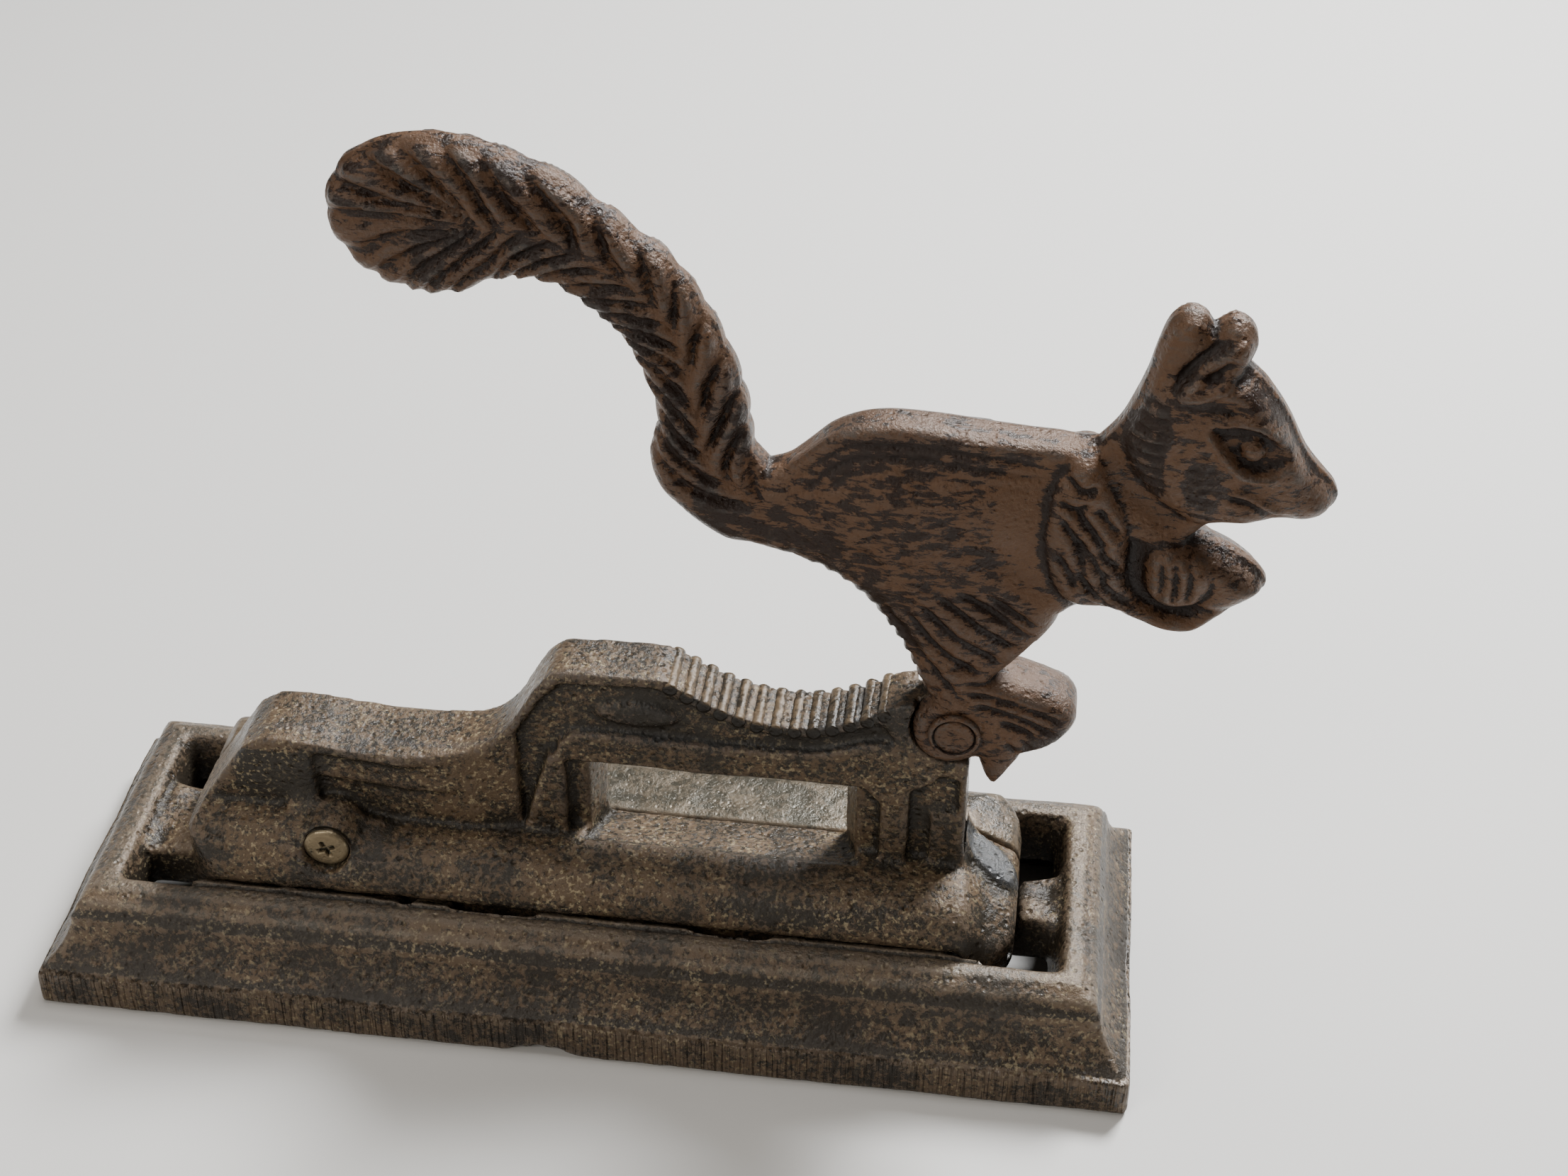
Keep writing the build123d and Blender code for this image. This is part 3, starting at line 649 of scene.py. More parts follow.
# ---- the squirrel ----------------------------------------------------------------------
@dataclass
class Squirrel:
    """The squirrel lever: two mirrored faces of modelled relief and the wall between them."""

    pivot: tuple[float, float] = (67.4, 65.6)
    boss_radius: float = 7.8
    boss_angles: tuple[float, float] = (131.0, 301.0)
    spacing: float = 0.62
    edge_round: float = 0.5
    wall_rows: int = 8
    slot_half: float = 2.95
    slot_radius: float = 7.35
    slot_reach: float = 8.75
    slot_angles: tuple[float, float] = (118.0, 310.0)
    tail: Points = field(default_factory=lambda: [
        (32.7, 117.3), (29.6, 121), (28.6, 129), (26, 138.5), (22, 147), (16.5, 155), (9, 161.2), (-1, 168.7),
        (-12, 173.8), (-21, 175.2), (-29, 174), (-35, 170.4), (-38.4, 165), (-38.8, 159.5), (-36.8, 154.6),
        (-32, 150.2), (-25.5, 147.8), (-18.8, 148), (-11, 151.2), (-3, 151), (4, 146.4), (9.2, 141), (13, 132),
        (14.4, 125.6), (13, 119.4), (14, 113.2), (18.6, 108), (25, 103.7), (31, 101.8), (37.5, 100.4),
    ])
    thigh: Points = field(default_factory=lambda: [
        (37.5, 100.4), (44.2, 97.1), (50, 92.2), (55.6, 84.8), (58.4, 79.6), (60.4, 74.8), (62.3, 71.5),
    ])
    spur: Points = field(default_factory=lambda: [
        (71.4, 58.9), (72.4, 56.0), (73.2, 53.6), (74.2, 52.4), (75.6, 52.4), (76.9, 53.9), (78.4, 56.9), (80.2, 60.6),
    ])
    foot: Points = field(default_factory=lambda: [
        (80.2, 60.6), (84.2, 62.6), (87.6, 66), (88.9, 69.6), (87.6, 72.4), (83.6, 74.8), (78.5, 76.4), (73.4, 77.4),
    ])
    knee: Points = field(default_factory=lambda: [(73.4, 77.4), (78.6, 83.6), (82.8, 89), (84.2, 92.8)])
    paws: Points = field(default_factory=lambda: [
        (84.2, 92.8), (87.2, 95.2), (91, 95.4), (96, 93.6), (101.5, 91.4), (107, 91.7), (111, 94.8), (114.4, 97),
        (117.4, 99.6), (118.3, 101.6), (116.6, 104.4), (112.6, 107.4), (108.6, 109.2), (104.6, 110.8),
    ])
    face: Points = field(default_factory=lambda: [
        (104.6, 110.8), (108, 114.2), (113, 114.8), (118, 116.2), (122, 115.8), (125.4, 117.2), (127.3, 119.8),
        (126.6, 122.8), (121.4, 128.8), (117.4, 136), (113.4, 141.4), (109.8, 144.6),
    ])
    near_ear: Points = field(default_factory=lambda: [
        (109.8, 144.6), (110.8, 148.4), (109.6, 151.8), (106.6, 153.2), (103.6, 151.2),
    ])
    far_ear: Points = field(default_factory=lambda: [
        (103.6, 151.2), (102, 153.4), (99.4, 154), (96.8, 152.2), (95.2, 147.6), (93.8, 141), (91, 132.8),
        (87.4, 127.4),
    ])
    back: Points = field(default_factory=lambda: [
        (87.4, 127.4), (80, 126.4), (70, 127), (60, 127.8), (52, 127.8), (46, 126.2), (40, 122.2), (36, 118.8),
        (32.7, 117.3),
    ])
    depths: list = field(default_factory=lambda: [
        (-30, 162, 1.4, 4.5), (0, 158, 1.5, 4.7), (20, 140, 1.6, 4.8), (18, 112, 1.8, 5.0), (36, 108, 2.4, 5.4),
        (42, 124, 3.2, 3.6), (55, 127, 3.4, 3.8), (78, 126, 3.4, 3.9), (57, 111, 4.4, 6.2), (74, 109, 4.4, 6.0),
        (89, 130, 2.2, 5.4), (97, 152, 1.6, 4.4), (108, 151, 1.8, 4.5), (118, 134, 1.8, 5.6), (126, 120, 1.4, 4.4),
        (110, 115, 1.8, 5.6), (117, 102, 1.2, 4.6),
        (100, 92, 2.0, 5.6), (84, 93, 3.2, 6.0), (76, 77, 4.4, 6.0), (88, 70, 4.4, 5.9), (75, 53, 3.6, 5.6),
        (62, 62, 6.2, 6.6), (60, 75, 3.8, 6.3), (46, 96, 2.8, 6.0),
    ])
    spine: Points = field(default_factory=lambda: [
        (34, 110.5), (28, 114), (23.6, 119), (21.4, 126.5), (20.2, 134.5), (18.4, 141.5), (14.5, 149), (9, 154),
        (0, 159), (-7, 161.3), (-14, 162),
    ])

    def outline(self) -> np.ndarray:
        """The squirrel's outline in the side view, as a closed run of short steps.

        Returns:
            The outline's corners.
        """
        angle = np.radians(np.linspace(*self.boss_angles, 40))
        boss = np.array(self.pivot) + self.boss_radius * np.stack([np.cos(angle), np.sin(angle)], 1)
        thigh = self.toothed(smooth_line(self.thigh, 0.5))
        runs = [smooth_line(self.tail, 0.8), thigh, boss]
        for run in (self.spur, self.foot, self.knee, self.paws, self.face, self.near_ear, self.far_ear, self.back):
            runs.append(smooth_line(run, 0.8))
        ring = np.vstack([run[:-1] for run in runs])
        run = np.roll(ring, -1, 0) - np.roll(ring, 1, 0)
        outward = np.stack([run[:, 1], -run[:, 0]], 1) / np.maximum(np.hypot(*run.T), 1e-9)[:, None]
        push = (0.6 + 0.55 * self.locks(ring)[0]) * self.on_tail(ring) * (1 - ease(ring[:, 1], 169, 174))
        return ring + outward * (push + 0.8 * self.on_back(ring))[:, None]

    @staticmethod
    def on_back(p: np.ndarray) -> np.ndarray:
        """How far each place belongs to the filed strip along the back, from 0 to 1."""
        x, z = p.T
        return ease(x, 38, 44) * (1 - ease(x, 80, 86)) * ease(z, 116, 120) * (z < 131)

    @staticmethod
    def on_tail(p: np.ndarray) -> np.ndarray:
        """How far each place belongs to the tail, from 0 to 1."""
        cut = ((p[:, 0] - 33) * 14.5 - (p[:, 1] - 117.5) * 5) / math.hypot(14.5, 5)
        return 1 - ease(cut, -3.0, 2.5)

    @staticmethod
    def toothed(line: np.ndarray) -> np.ndarray:
        """Cut the grip's shallow teeth into the thigh's rear edge.

        Args:
            line: The smooth edge, from the rump down.

        Returns:
            The toothed edge.
        """
        along = np.r_[0, np.cumsum(np.hypot(*np.diff(line, axis=0).T))]
        run = np.gradient(line, axis=0)
        run /= np.hypot(*run.T)[:, None]
        inward = np.stack([-run[:, 1], run[:, 0]], 1)
        bite = 0.32 * (1 - np.cos(2 * np.pi * along / 3.05)) * ease(along, 1, 5) * ease(along[-1] - along, 0, 2)
        return line + inward * bite[:, None]

    def locks(self, p: np.ndarray) -> tuple[np.ndarray, np.ndarray, np.ndarray, np.ndarray]:
        """Locks of hair that sweep off the tail's spine and fan out at its tip.

        Args:
            p: Places in the side view.

        Returns:
            The locks' rise from -0.7 to 0.3, their phase, the distance from the spine, and which side is the upper.
        """
        line = smooth_line(self.spine)
        gap, along, side = near_line(p, line)
        length = np.hypot(*np.diff(line, axis=0).T).sum()
        last = (line[-1] - line[-2]) / np.hypot(*(line[-1] - line[-2]))
        past = np.clip((p - line[-1]) @ last, 0, None) * (along > length - 0.01)
        off = np.sqrt(np.maximum(gap**2 - past**2, 0))
        reach = along + past
        start = reach.copy()
        for _ in range(6):
            lean = np.radians(33 + 17 * np.clip(start / length, 0, 1) ** 3)
            start = 0.5 * start + 0.5 * (reach - off / np.tan(lean))
        upper = side < 0
        share = np.clip(start / length, 0, 1)
        turns = length / np.where(upper, 8.8, 6.0)
        phase = turns * (share + 0.2 * share**2)
        fan = (past > 0) & (reach - length > off / math.tan(math.radians(50)))
        turned = np.degrees(np.arctan2(off, np.maximum(past, 1e-6)))
        phase = np.where(fan, 1.2 * turns + (50 - turned) / np.where(upper, 16.5, 14.5), phase)
        phase = phase + 0.20 * noise(p, 9, 3) + 0.08 * noise(p, 3.5, 4) + np.where(upper, 0.0, 0.45)
        return np.abs(np.sin(np.pi * phase)) ** 0.85 - 0.7, phase, gap, upper

    def tail_relief(self, p: np.ndarray) -> np.ndarray:
        """The locks' height over the tail.

        Args:
            p: Places in the side view.

        Returns:
            The height at each place.
        """
        rise, phase, gap, upper = self.locks(p)
        size = np.where(upper, 2.6, 1.7) * (1 + 0.3 * noise(p, 12, 5))
        fine = 0.13 * np.sin(2 * np.pi * phase * 3.3 + 2 * noise(p, 5, 6))
        return (size * rise + fine) * (0.35 + 0.65 * ease(gap, 0.1, 1.8))

    def flank_relief(self, p: np.ndarray) -> np.ndarray:
        """Long lines under the back and short broken hairs on the flank and rump.

        Args:
            p: Places in the side view.

        Returns:
            The height at each place.
        """
        below = near_line(p, smooth_line(self.back))[0]
        wave = below + 0.5 * noise(p, 8, 11)
        lines = -0.5 * np.abs(np.cos(np.pi * wave / 2.3)) ** 6
        lines *= ease(below, 0.9, 1.6) * (1 - ease(below, 5.5, 8))
        lines *= ease(p[:, 0], 34, 44) * (1 - ease(p[:, 0], 74, 82))
        hair = np.stack([0.97 * p[:, 0] + 0.25 * p[:, 1], 3.3 * (0.97 * p[:, 1] - 0.25 * p[:, 0])], 1)
        flank = ease(p[:, 0], 34, 42) * (1 - ease(p[:, 0], 68, 75)) * ease(p[:, 1], 103, 108) * ease(below, 2, 5)
        broken = (0.16 * noise(hair, 2.6, 12) + 0.13 * noise(hair, 1.5, 13)) * flank
        rump = ease(p[:, 0], 22, 30) * (1 - ease(p[:, 0], 58, 66)) * (1 - ease(p[:, 1], 104, 112))
        return lines + broken + 0.22 * noise(p, 1.9, 15) * rump

    def head_relief(self, p: np.ndarray) -> np.ndarray:
        """Ears, brow, eye, cheek, mouth and the ruff behind the cheek.

        Args:
            p: Places in the side view.

        Returns:
            The height at each place.
        """
        out = swell(p, [(93, 138), (97, 143), (103, 144), (110, 143), (115, 138), (120, 130), (125.5, 122.5),
                        (125, 118), (118, 117), (111, 115.6), (104, 116), (98, 119.5), (93.4, 125), (91.8, 132)],
                    2.3, 8.0)
        out += swell(p, [(98.6, 140.6), (101.2, 145.4), (105.2, 149.4), (108.6, 150.8), (110.3, 148.6), (109.3, 145),
                         (106.4, 142.4), (102.4, 140.2)], 1.6, 2.0)
        out += strokes(
            p,
            ([(102.6, 143.2), (105.4, 145.8), (107.6, 148)], 1.0, -1.3),
            ([(97.6, 140.6), (101.0, 146.2), (106, 150.8)], 0.75, -0.9),
            ([(104, 141.4), (108.5, 142.2), (113, 138.6), (117, 134), (119.6, 129.5), (121, 125)], 1.7, 1.1, 4),
        )
        out += swell(p, [(104.6, 135.6), (108, 136.6), (112.6, 136.2), (116.4, 133.6), (118, 130.4), (116.4, 127.8),
                         (112.2, 127.6), (107.6, 130.8)], -1.6, 2.0)
        out += stroke(p, [(104.4, 135.4), (108.2, 130), (112, 127), (116.6, 127.2)], 0.75, 0.95)
        out += stroke(p, [(104.8, 136.6), (109, 137.6), (113.4, 136.4), (117.4, 132.4)], 0.75, 0.95)
        eye = np.hypot(p[:, 0] - 112.0, p[:, 1] - 132.0)
        out += 1.9 * np.sqrt(np.clip(1 - (eye / 2.1) ** 2, 0, 1))
        out += strokes(
            p,
            ([(103.2, 138.6), (106.4, 139.4), (109.4, 137.8)], 0.5, -0.55),
            ([(104.4, 140.0), (107.6, 140.6), (110.8, 139)], 0.45, -0.45),
            ([(108.4, 124.2), (112.6, 123.2), (116.4, 121.0), (118.6, 119.4)], 0.55, 0.6),
            ([(108.4, 122.7), (112.4, 121.8), (116.4, 119.4), (120.4, 118.6)], 0.55, -0.8),
            ([(110.6, 120.6), (114, 119.4), (117.6, 117.6)], 0.4, -0.35),
        )
        for step in range(8):
            rise = 139.4 - 2.35 * step
            lean = 0.45 * abs(step - 2.5)
            out += stroke(p, [(92.1 + lean, rise - 0.4), (95.0 + lean, rise - 0.9), (98.0 + 0.5 * lean, rise - 0.7)],
                          0.55, -0.75, 1.2)
        for step in range(6):
            out += stroke(p, [(101.6, 128.4 - 1.9 * step), (104.2, 127.6 - 1.9 * step), (106.8, 127.9 - 1.9 * step)],
                          0.5, -0.3, 1.0)
        out += stroke(p, [(88.2, 131.5), (90, 126.2), (94, 120.4), (99.6, 115.6), (104.6, 113.4)], 3.2, -2.0, 6)
        cheek = ease(p[:, 0], 97, 101) * (1 - ease(p[:, 0], 112, 116))
        cheek *= ease(p[:, 1], 117, 121) * (1 - ease(p[:, 1], 133, 137))
        return out + 0.22 * noise(p, 1.3, 21) * cheek

    def arm_relief(self, p: np.ndarray) -> np.ndarray:
        """Shoulder and forearm with wavy locks, the pocket inside the elbow and the acorn.

        Args:
            p: Places in the side view.

        Returns:
            The height at each place.
        """
        out = swell(p, [(84.6, 126.5), (81.2, 121), (80.2, 115), (80.4, 108), (82.6, 100.6), (86.6, 97), (92.5, 94.6),
                        (99.5, 91.6), (105.5, 91.2), (110.4, 94), (112.2, 97), (109.4, 97.6), (105, 95.6), (100, 96.4),
                        (96.6, 98.8), (94.4, 103), (94.2, 110), (92.6, 116), (89.6, 122), (87.6, 126)], 2.4, 4.4)
        for start, mid, end in (
            ((82.4, 123.5), (85.6, 121.2), (88.6, 121.8)), ((81.6, 119), (84.6, 117.4), (87.4, 118.6)),
            ((84.6, 117.6), (87.8, 113.6), (90.6, 109.6)), ((88, 118.4), (90.6, 115), (92.8, 112)),
            ((82.4, 115.6), (85.4, 111), (87.2, 105.4)), ((85.6, 112), (88.6, 107.4), (91.6, 103.4)),
            ((88.8, 110.4), (91.2, 107.4), (93.4, 105.4)), ((82.2, 108.6), (84.6, 105), (86.2, 101.4)),
            ((85.8, 105.6), (88.6, 101.4), (92, 98.2)), ((89.4, 104.4), (92.4, 100.8), (95.6, 97.6)),
            ((86.4, 100), (90.4, 97.6), (95.4, 95.8)),
        ):
            out += stroke(p, [start, mid, end], 0.75, -1.25, 1.6)
        out += stroke(p, [(95.4, 112), (95.4, 105), (97.2, 99.6), (102, 96.6), (107.6, 97.6)], 2.5, -1.7, 3)
        out += swell(p, [(97.8, 108.6), (97.4, 103), (99.4, 99), (103.4, 97.8), (107, 99.6), (108.6, 104),
                         (107.4, 108.6), (103.4, 110.4), (100, 110.4)], 2.6, 3.4)
        out += swell(p, [(106.4, 108.6), (107.4, 103), (107.2, 98.6), (111, 97.4), (115.2, 99.4), (117.6, 101.8),
                         (115.4, 104.8), (111.6, 107.4)], 1.6, 4.0)
        for x in (99.8, 102.2, 104.6):
            out += stroke(p, [(x, 108.6), (x + 0.5, 104), (x + 0.1, 100)], 0.55, -1.15, 1.2)
        out += stroke(p, [(107.2, 108.4), (108.2, 103.6), (107.2, 98.8)], 0.6, -0.6, 1.2)
        return out

    def leg_relief(self, p: np.ndarray) -> np.ndarray:
        """Haunch, lower leg and foot with its toes, and the boss around the pin.

        Args:
            p: Places in the side view.

        Returns:
            The height at each place.
        """
        out = swell(p, [(51.5, 108.5), (57, 107.4), (63.5, 105.4), (70, 103), (76, 99.6), (81.2, 96), (83.8, 92.6),
                        (80, 86.5), (75.4, 81), (71.4, 77), (66, 73), (60.5, 76), (57.4, 83), (52.6, 91), (47, 97.5)],
                    1.9, 13.0, True)
        out += stroke(p, [(56.2, 105.9), (61.4, 104.5), (67.8, 102.3), (74.9, 98.4), (81.5, 94.1)], 3.0, 0.8, 6)
        for line in (
            [(66, 98), (72.5, 93.8), (79.5, 88.8)], [(62, 97.5), (69, 91.8), (77.6, 85)],
            [(59.5, 95), (66, 88.6), (75, 81.8)], [(57.4, 93), (62.6, 86), (71.4, 79.2)],
            [(55.8, 91), (60, 83.6), (66.6, 75.8)], [(53.4, 93.8), (57.2, 86), (61.8, 78)],
            [(70.8, 97.8), (76, 94.4), (81.4, 91)],
        ):
            out += stroke(p, line, 0.85, -1.3, 4)
            out += stroke(p, [(x - 1.3, z - 1.1) for x, z in line], 0.45, -0.35, 3)
        out += 0.9 * np.exp(-(((p[:, 0] - 79.6) / 4.2) ** 2) - ((p[:, 1] - 92.6) / 3.2) ** 2)
        out += stroke(p, [(60, 109), (66, 108), (72, 105.4), (78, 101.6), (83, 97.6)], 3.2, -0.6, 6)
        out += swell(p, [(60, 76), (64, 80), (70, 80.4), (74, 78), (80, 77), (85.6, 74.6), (89.6, 70), (88, 64),
                         (82, 60), (77, 51), (71, 57), (66, 56), (59, 61), (58.4, 69)], 0.7, 2.5)
        for line in (
            [(68, 77.6), (75, 76.6), (80, 75.2), (85.6, 72.9)], [(68.6, 75.4), (76, 73.9), (81.4, 72.0), (86.6, 69.9)],
            [(70.4, 73), (76.6, 71.2), (81.4, 69.2), (85.6, 66.9)], [(74.6, 69.6), (78.6, 68.2), (82.4, 66)],
        ):
            out += stroke(p, line, 0.62, -1.05, 2.5)
        for line in ([(65, 78.4), (67, 75), (70, 72.6)], [(62.8, 76.4), (64.6, 73.6)], [(76.6, 65), (78.8, 61.4)],
                     [(79, 66), (81.4, 63)]):
            out += stroke(p, line, 0.55, -0.55, 1.2)
        return out

    def half_thickness(self, p: np.ndarray, edge: np.ndarray) -> np.ndarray:
        """How far the front face stands from the middle plane.

        Args:
            p: Places in the side view.
            edge: Each place's distance from the outline.

        Returns:
            The distance in millimetres.
        """
        anchors = np.array(self.depths)
        far = np.hypot(p[:, :1] - anchors[:, 0], p[:, 1:] - anchors[:, 1]) + 2.0
        weight = far**-3.0
        rim, core = ((weight * anchors[:, side]).sum(1) / weight.sum(1) for side in (2, 3))
        tail = self.on_tail(p)
        trunk = swell(p, [(36, 106), (38, 116), (44, 122.5), (54, 125.5), (66, 125.5), (77, 124), (79, 114), (76, 104),
                          (62, 99), (48, 99)], 1.5, 11.0, True)
        relief = tail * self.tail_relief(p) + (1 - tail) * self.flank_relief(p)
        mass = core - rim + trunk + self.head_relief(p) + self.arm_relief(p) + self.leg_relief(p)
        boss = np.hypot(p[:, 0] - self.pivot[0], p[:, 1] - self.pivot[1])
        flat = 1 - ease(boss, 4.6, 6.2)
        border = np.sqrt(1 - (1 - np.clip(edge / (4.2 - 3.3 * self.on_back(p)), 0, 1)) ** 2)
        lumps = 0.14 * noise(p, 5, 31) + 0.06 * noise(p, 1.2, 32)
        full = rim + (mass + relief + lumps) * border
        return np.clip(full * (1 - flat) + 6.6 * flat, 1.0, 8.35)

    def soot_and_shade(self, p: np.ndarray) -> np.ndarray:
        """Where the patina stays black: ruff, cheek, grooved arm, rump and patches of the tail.

        Args:
            p: Places in the side view.

        Returns:
            From 1 where it is black to below 0 where it is rubbed clean.
        """
        out = swell(p, [(91, 139.6), (94.8, 140.4), (98, 138.6), (99, 133), (98, 127), (99.6, 120.4), (95, 121.4),
                        (91.6, 127), (90, 133)], 1.0, 1.5)
        out += swell(p, [(101.6, 128), (105, 129.4), (108, 127), (108.8, 122), (106.4, 117.4), (102.6, 118.6),
                         (101.2, 123)], 1.0, 1.5)
        out += strokes(
            p,
            ([(98.4, 140.8), (101.6, 146), (106.6, 150.4)], 1.0, 1.0, 1),
            ([(82, 124.8), (80.4, 118), (80.4, 108), (82.6, 99.6), (88, 96), (96, 92.6)], 1.6, 0.55, 2),
            ([(42, 119.6), (50, 123.4), (60, 125), (72, 124.4), (80, 124.6)], 2.0, 0.7, 4),
            ([(30, 108), (40, 104.5), (48, 98.6), (54, 90.6), (59, 80.4)], 4.2, 0.75, 5),
            ([(80, 64), (86, 66.4), (88, 70)], 2.0, 0.8, 2),
            ([(31, 119.6), (27.6, 126), (26.6, 133)], 2.6, 0.9, 4),
            ([(126.5, 123), (121.4, 128.8), (117.4, 136), (113.4, 141.4), (110, 148)], 2.4, 0.55, 3),
            ([(116, 100), (118.3, 102), (115.6, 105), (110, 108.6)], 2.2, 0.5, 2),
        )
        rise, _, gap, upper = self.locks(p)
        crests = ease(rise, 0.05, 0.25) * ease(gap, 4.5, 9.5)
        patch = ease(noise(p, 5, 41), -0.1, 0.35) * ease(gap, 0.5, 2.0)
        out += self.on_tail(p) * np.where(upper, 0.85 * crests, 0.8 * patch)
        out *= 0.75 + 0.7 * noise(p, 1.5, 42)
        clean = swell(p, [(71, 124), (71, 110), (73, 100), (83, 93), (85, 97), (81, 107), (80.6, 117), (82.6, 124)],
                      0.7, 3, True)
        clean += swell(p, [(90, 130), (93, 142), (96, 151.4), (99.6, 153.4), (101.6, 150), (97.6, 143), (94, 136)],
                       0.7, 2, True)
        clean += strokes(
            p,
            ([(88.4, 129), (91, 123), (96, 117.4), (103, 114.6)], 2.6, 0.7, 3),
            ([(104.6, 135), (109, 131.6), (113, 130.4), (117, 130)], 2.0, 0.6, 2),
            ([(96.6, 98.6), (101.6, 95), (107.6, 95.6)], 1.6, 0.5, 2),
            ([(34, 111), (28, 114), (23.6, 119), (21, 127), (19, 140), (12, 151)], 1.6, 0.5, 3),
        )
        return np.clip(out, 0, 1) - clean

    def build(self, finish: bpy.types.Material) -> bpy.types.Object:
        """Build the lever.

        Args:
            finish: Its material.

        Returns:
            The piece, with its slot for the tongue.
        """
        ring = self.outline()
        run = np.roll(ring, -1, 0) - np.roll(ring, 1, 0)
        run /= np.maximum(np.hypot(*run.T), 1e-9)[:, None]
        outward = np.stack([run[:, 1], -run[:, 0]], 1)
        area = 0.5 * np.sum(ring[:, 0] * np.roll(ring[:, 1], -1) - np.roll(ring[:, 0], -1) * ring[:, 1])
        if area < 0:
            outward = -outward
        rim = ring - self.edge_round * outward
        low, high = ring.min(0), ring.max(0)
        xs = np.arange(low[0], high[0], self.spacing)
        zs = np.arange(low[1], high[1], self.spacing * 0.866)
        gx, gz = np.meshgrid(xs, zs)
        gx = gx + (np.arange(len(zs)) % 2)[:, None] * self.spacing / 2
        grid = np.stack([gx.ravel(), gz.ravel()], 1)
        grid = grid[within(grid, rim)]
        loop = np.vstack([ring, ring[:1]])
        grid = grid[near_line(grid, loop)[0] > self.edge_round + 0.5 * self.spacing]
        flat = np.vstack([rim, grid])
        count = len(ring)
        found = delaunay_2d_cdt([Vector(p) for p in flat], [], [list(range(count))], 1, 1e-7)
        places = np.array([tuple(v) for v in found[0]])
        edge = np.clip(near_line(places, loop)[0] - self.edge_round, 0, None)
        origin = [ids[0] if ids else -1 for ids in found[3]]
        half = self.half_thickness(places, edge)
        front = np.stack([places[:, 0], -half, places[:, 1]], 1)
        rear = front * (1, -1, 1)
        total = len(places)
        where = {source: index for index, source in enumerate(origin) if source >= 0}
        rim_ids = [where[i] for i in range(count)]
        faces = [tuple(f) for f in found[2]] + [tuple(i + total for i in reversed(f)) for f in found[2]]
        corners = [front, rear]
        edge_half = half[rim_ids]
        rows = [rim_ids]
        step = 2 * total
        for row in range(1, self.wall_rows):
            share = 1 - 2 * row / self.wall_rows
            bulge = self.edge_round * min(1.0, 3.2 * (1 - abs(share)))
            wall = rim + bulge * outward
            rough = 0.07 * noise(np.column_stack([wall, np.full(count, row * 1.6)]), 2.6, 51) - 0.05
            wall = wall + outward * rough[:, None]
            corners.append(np.stack([wall[:, 0], -edge_half * share, wall[:, 1]], 1))
            rows.append([step + i for i in range(count)])
            step += count
        rows.append([i + total for i in rim_ids])
        for above, below in zip(rows[:-1], rows[1:]):
            for i in range(count):
                j = (i + 1) % count
                faces.append((above[i], above[j], below[j], below[i]))
        obj = mesh_object("squirrel", np.vstack(corners) * MM, faces)
        face_outwards(obj, 1e-7)
        self.cut_slot(obj)
        self.dress(obj, finish)
        return obj

    def cut_slot(self, obj: bpy.types.Object) -> None:
        """Cut the fork's slot, in which the tongue swings.

        Args:
            obj: The squirrel before the cut.
        """
        wide = np.radians(np.linspace(*self.slot_angles, 60))
        rest = np.radians(np.linspace(self.slot_angles[1], self.slot_angles[0] + 360, 40))
        reach = [(self.slot_reach, a) for a in wide] + [(self.slot_radius, a) for a in rest]
        ring = np.array([(self.pivot[0] + r * math.cos(a), self.pivot[1] + r * math.sin(a)) for r, a in reach])
        count = len(ring)
        front = np.stack([ring[:, 0], np.full(count, -self.slot_half), ring[:, 1]], 1)
        faces = [tuple(range(count)), tuple(reversed(range(count, 2 * count)))]
        faces += [(i, i + count, (i + 1) % count + count, (i + 1) % count) for i in range(count)]
        cutter = mesh_object("slot_cutter", np.vstack([front, front * (1, -1, 1)]) * MM, faces, smooth=False)
        face_outwards(cutter)
        cut = obj.modifiers.new("slot", "BOOLEAN")
        cut.operation = "DIFFERENCE"
        cut.solver = "EXACT"
        cut.object = cutter
        bake_modifiers(obj)
        bpy.data.objects.remove(cutter)

    def dress(self, obj: bpy.types.Object, finish: bpy.types.Material) -> None:
        """Mark hollows, crests, dark patches and filed walls, the walls' upward faces lightened as a painted sheen,
        then put the finish on.

        Args:
            obj: The squirrel.
            finish: Its material.
        """
        mesh = obj.data
        corners = corners_of(mesh) / MM
        side = corners[:, [0, 2]]
        mark_relief(mesh, 0.55, 12, 1 - 0.72 * self.on_tail(side))
        mark(mesh, "soot_and_shade", self.soot_and_shade(side) * ease(np.abs(corners[:, 1]), 1.5, 3.0))
        gap = near_line(side, np.vstack([self.outline(), self.outline()[:1]]))[0]
        wall = 1 - ease(gap, 0.5, 1.3)
        streak = 0.5 + 0.5 * noise(corners * (1, 0.12, 1), 0.9, 61)
        # Painted light: the rubbed walls are lightened only where they face upwards, as a sheen from the light above.
        upper = ease(normals_of(mesh)[:, 2], -0.1, 0.5)
        rubbed = 0.18 + 0.30 * self.on_back(side) + 0.22 * (side[:, 1] < 82)
        mark(mesh, "polish_and_sheen", rubbed * wall * upper * (0.35 + 0.65 * streak))
        mesh.materials.clear()
        mesh.materials.append(finish)
        mesh.shade_smooth()


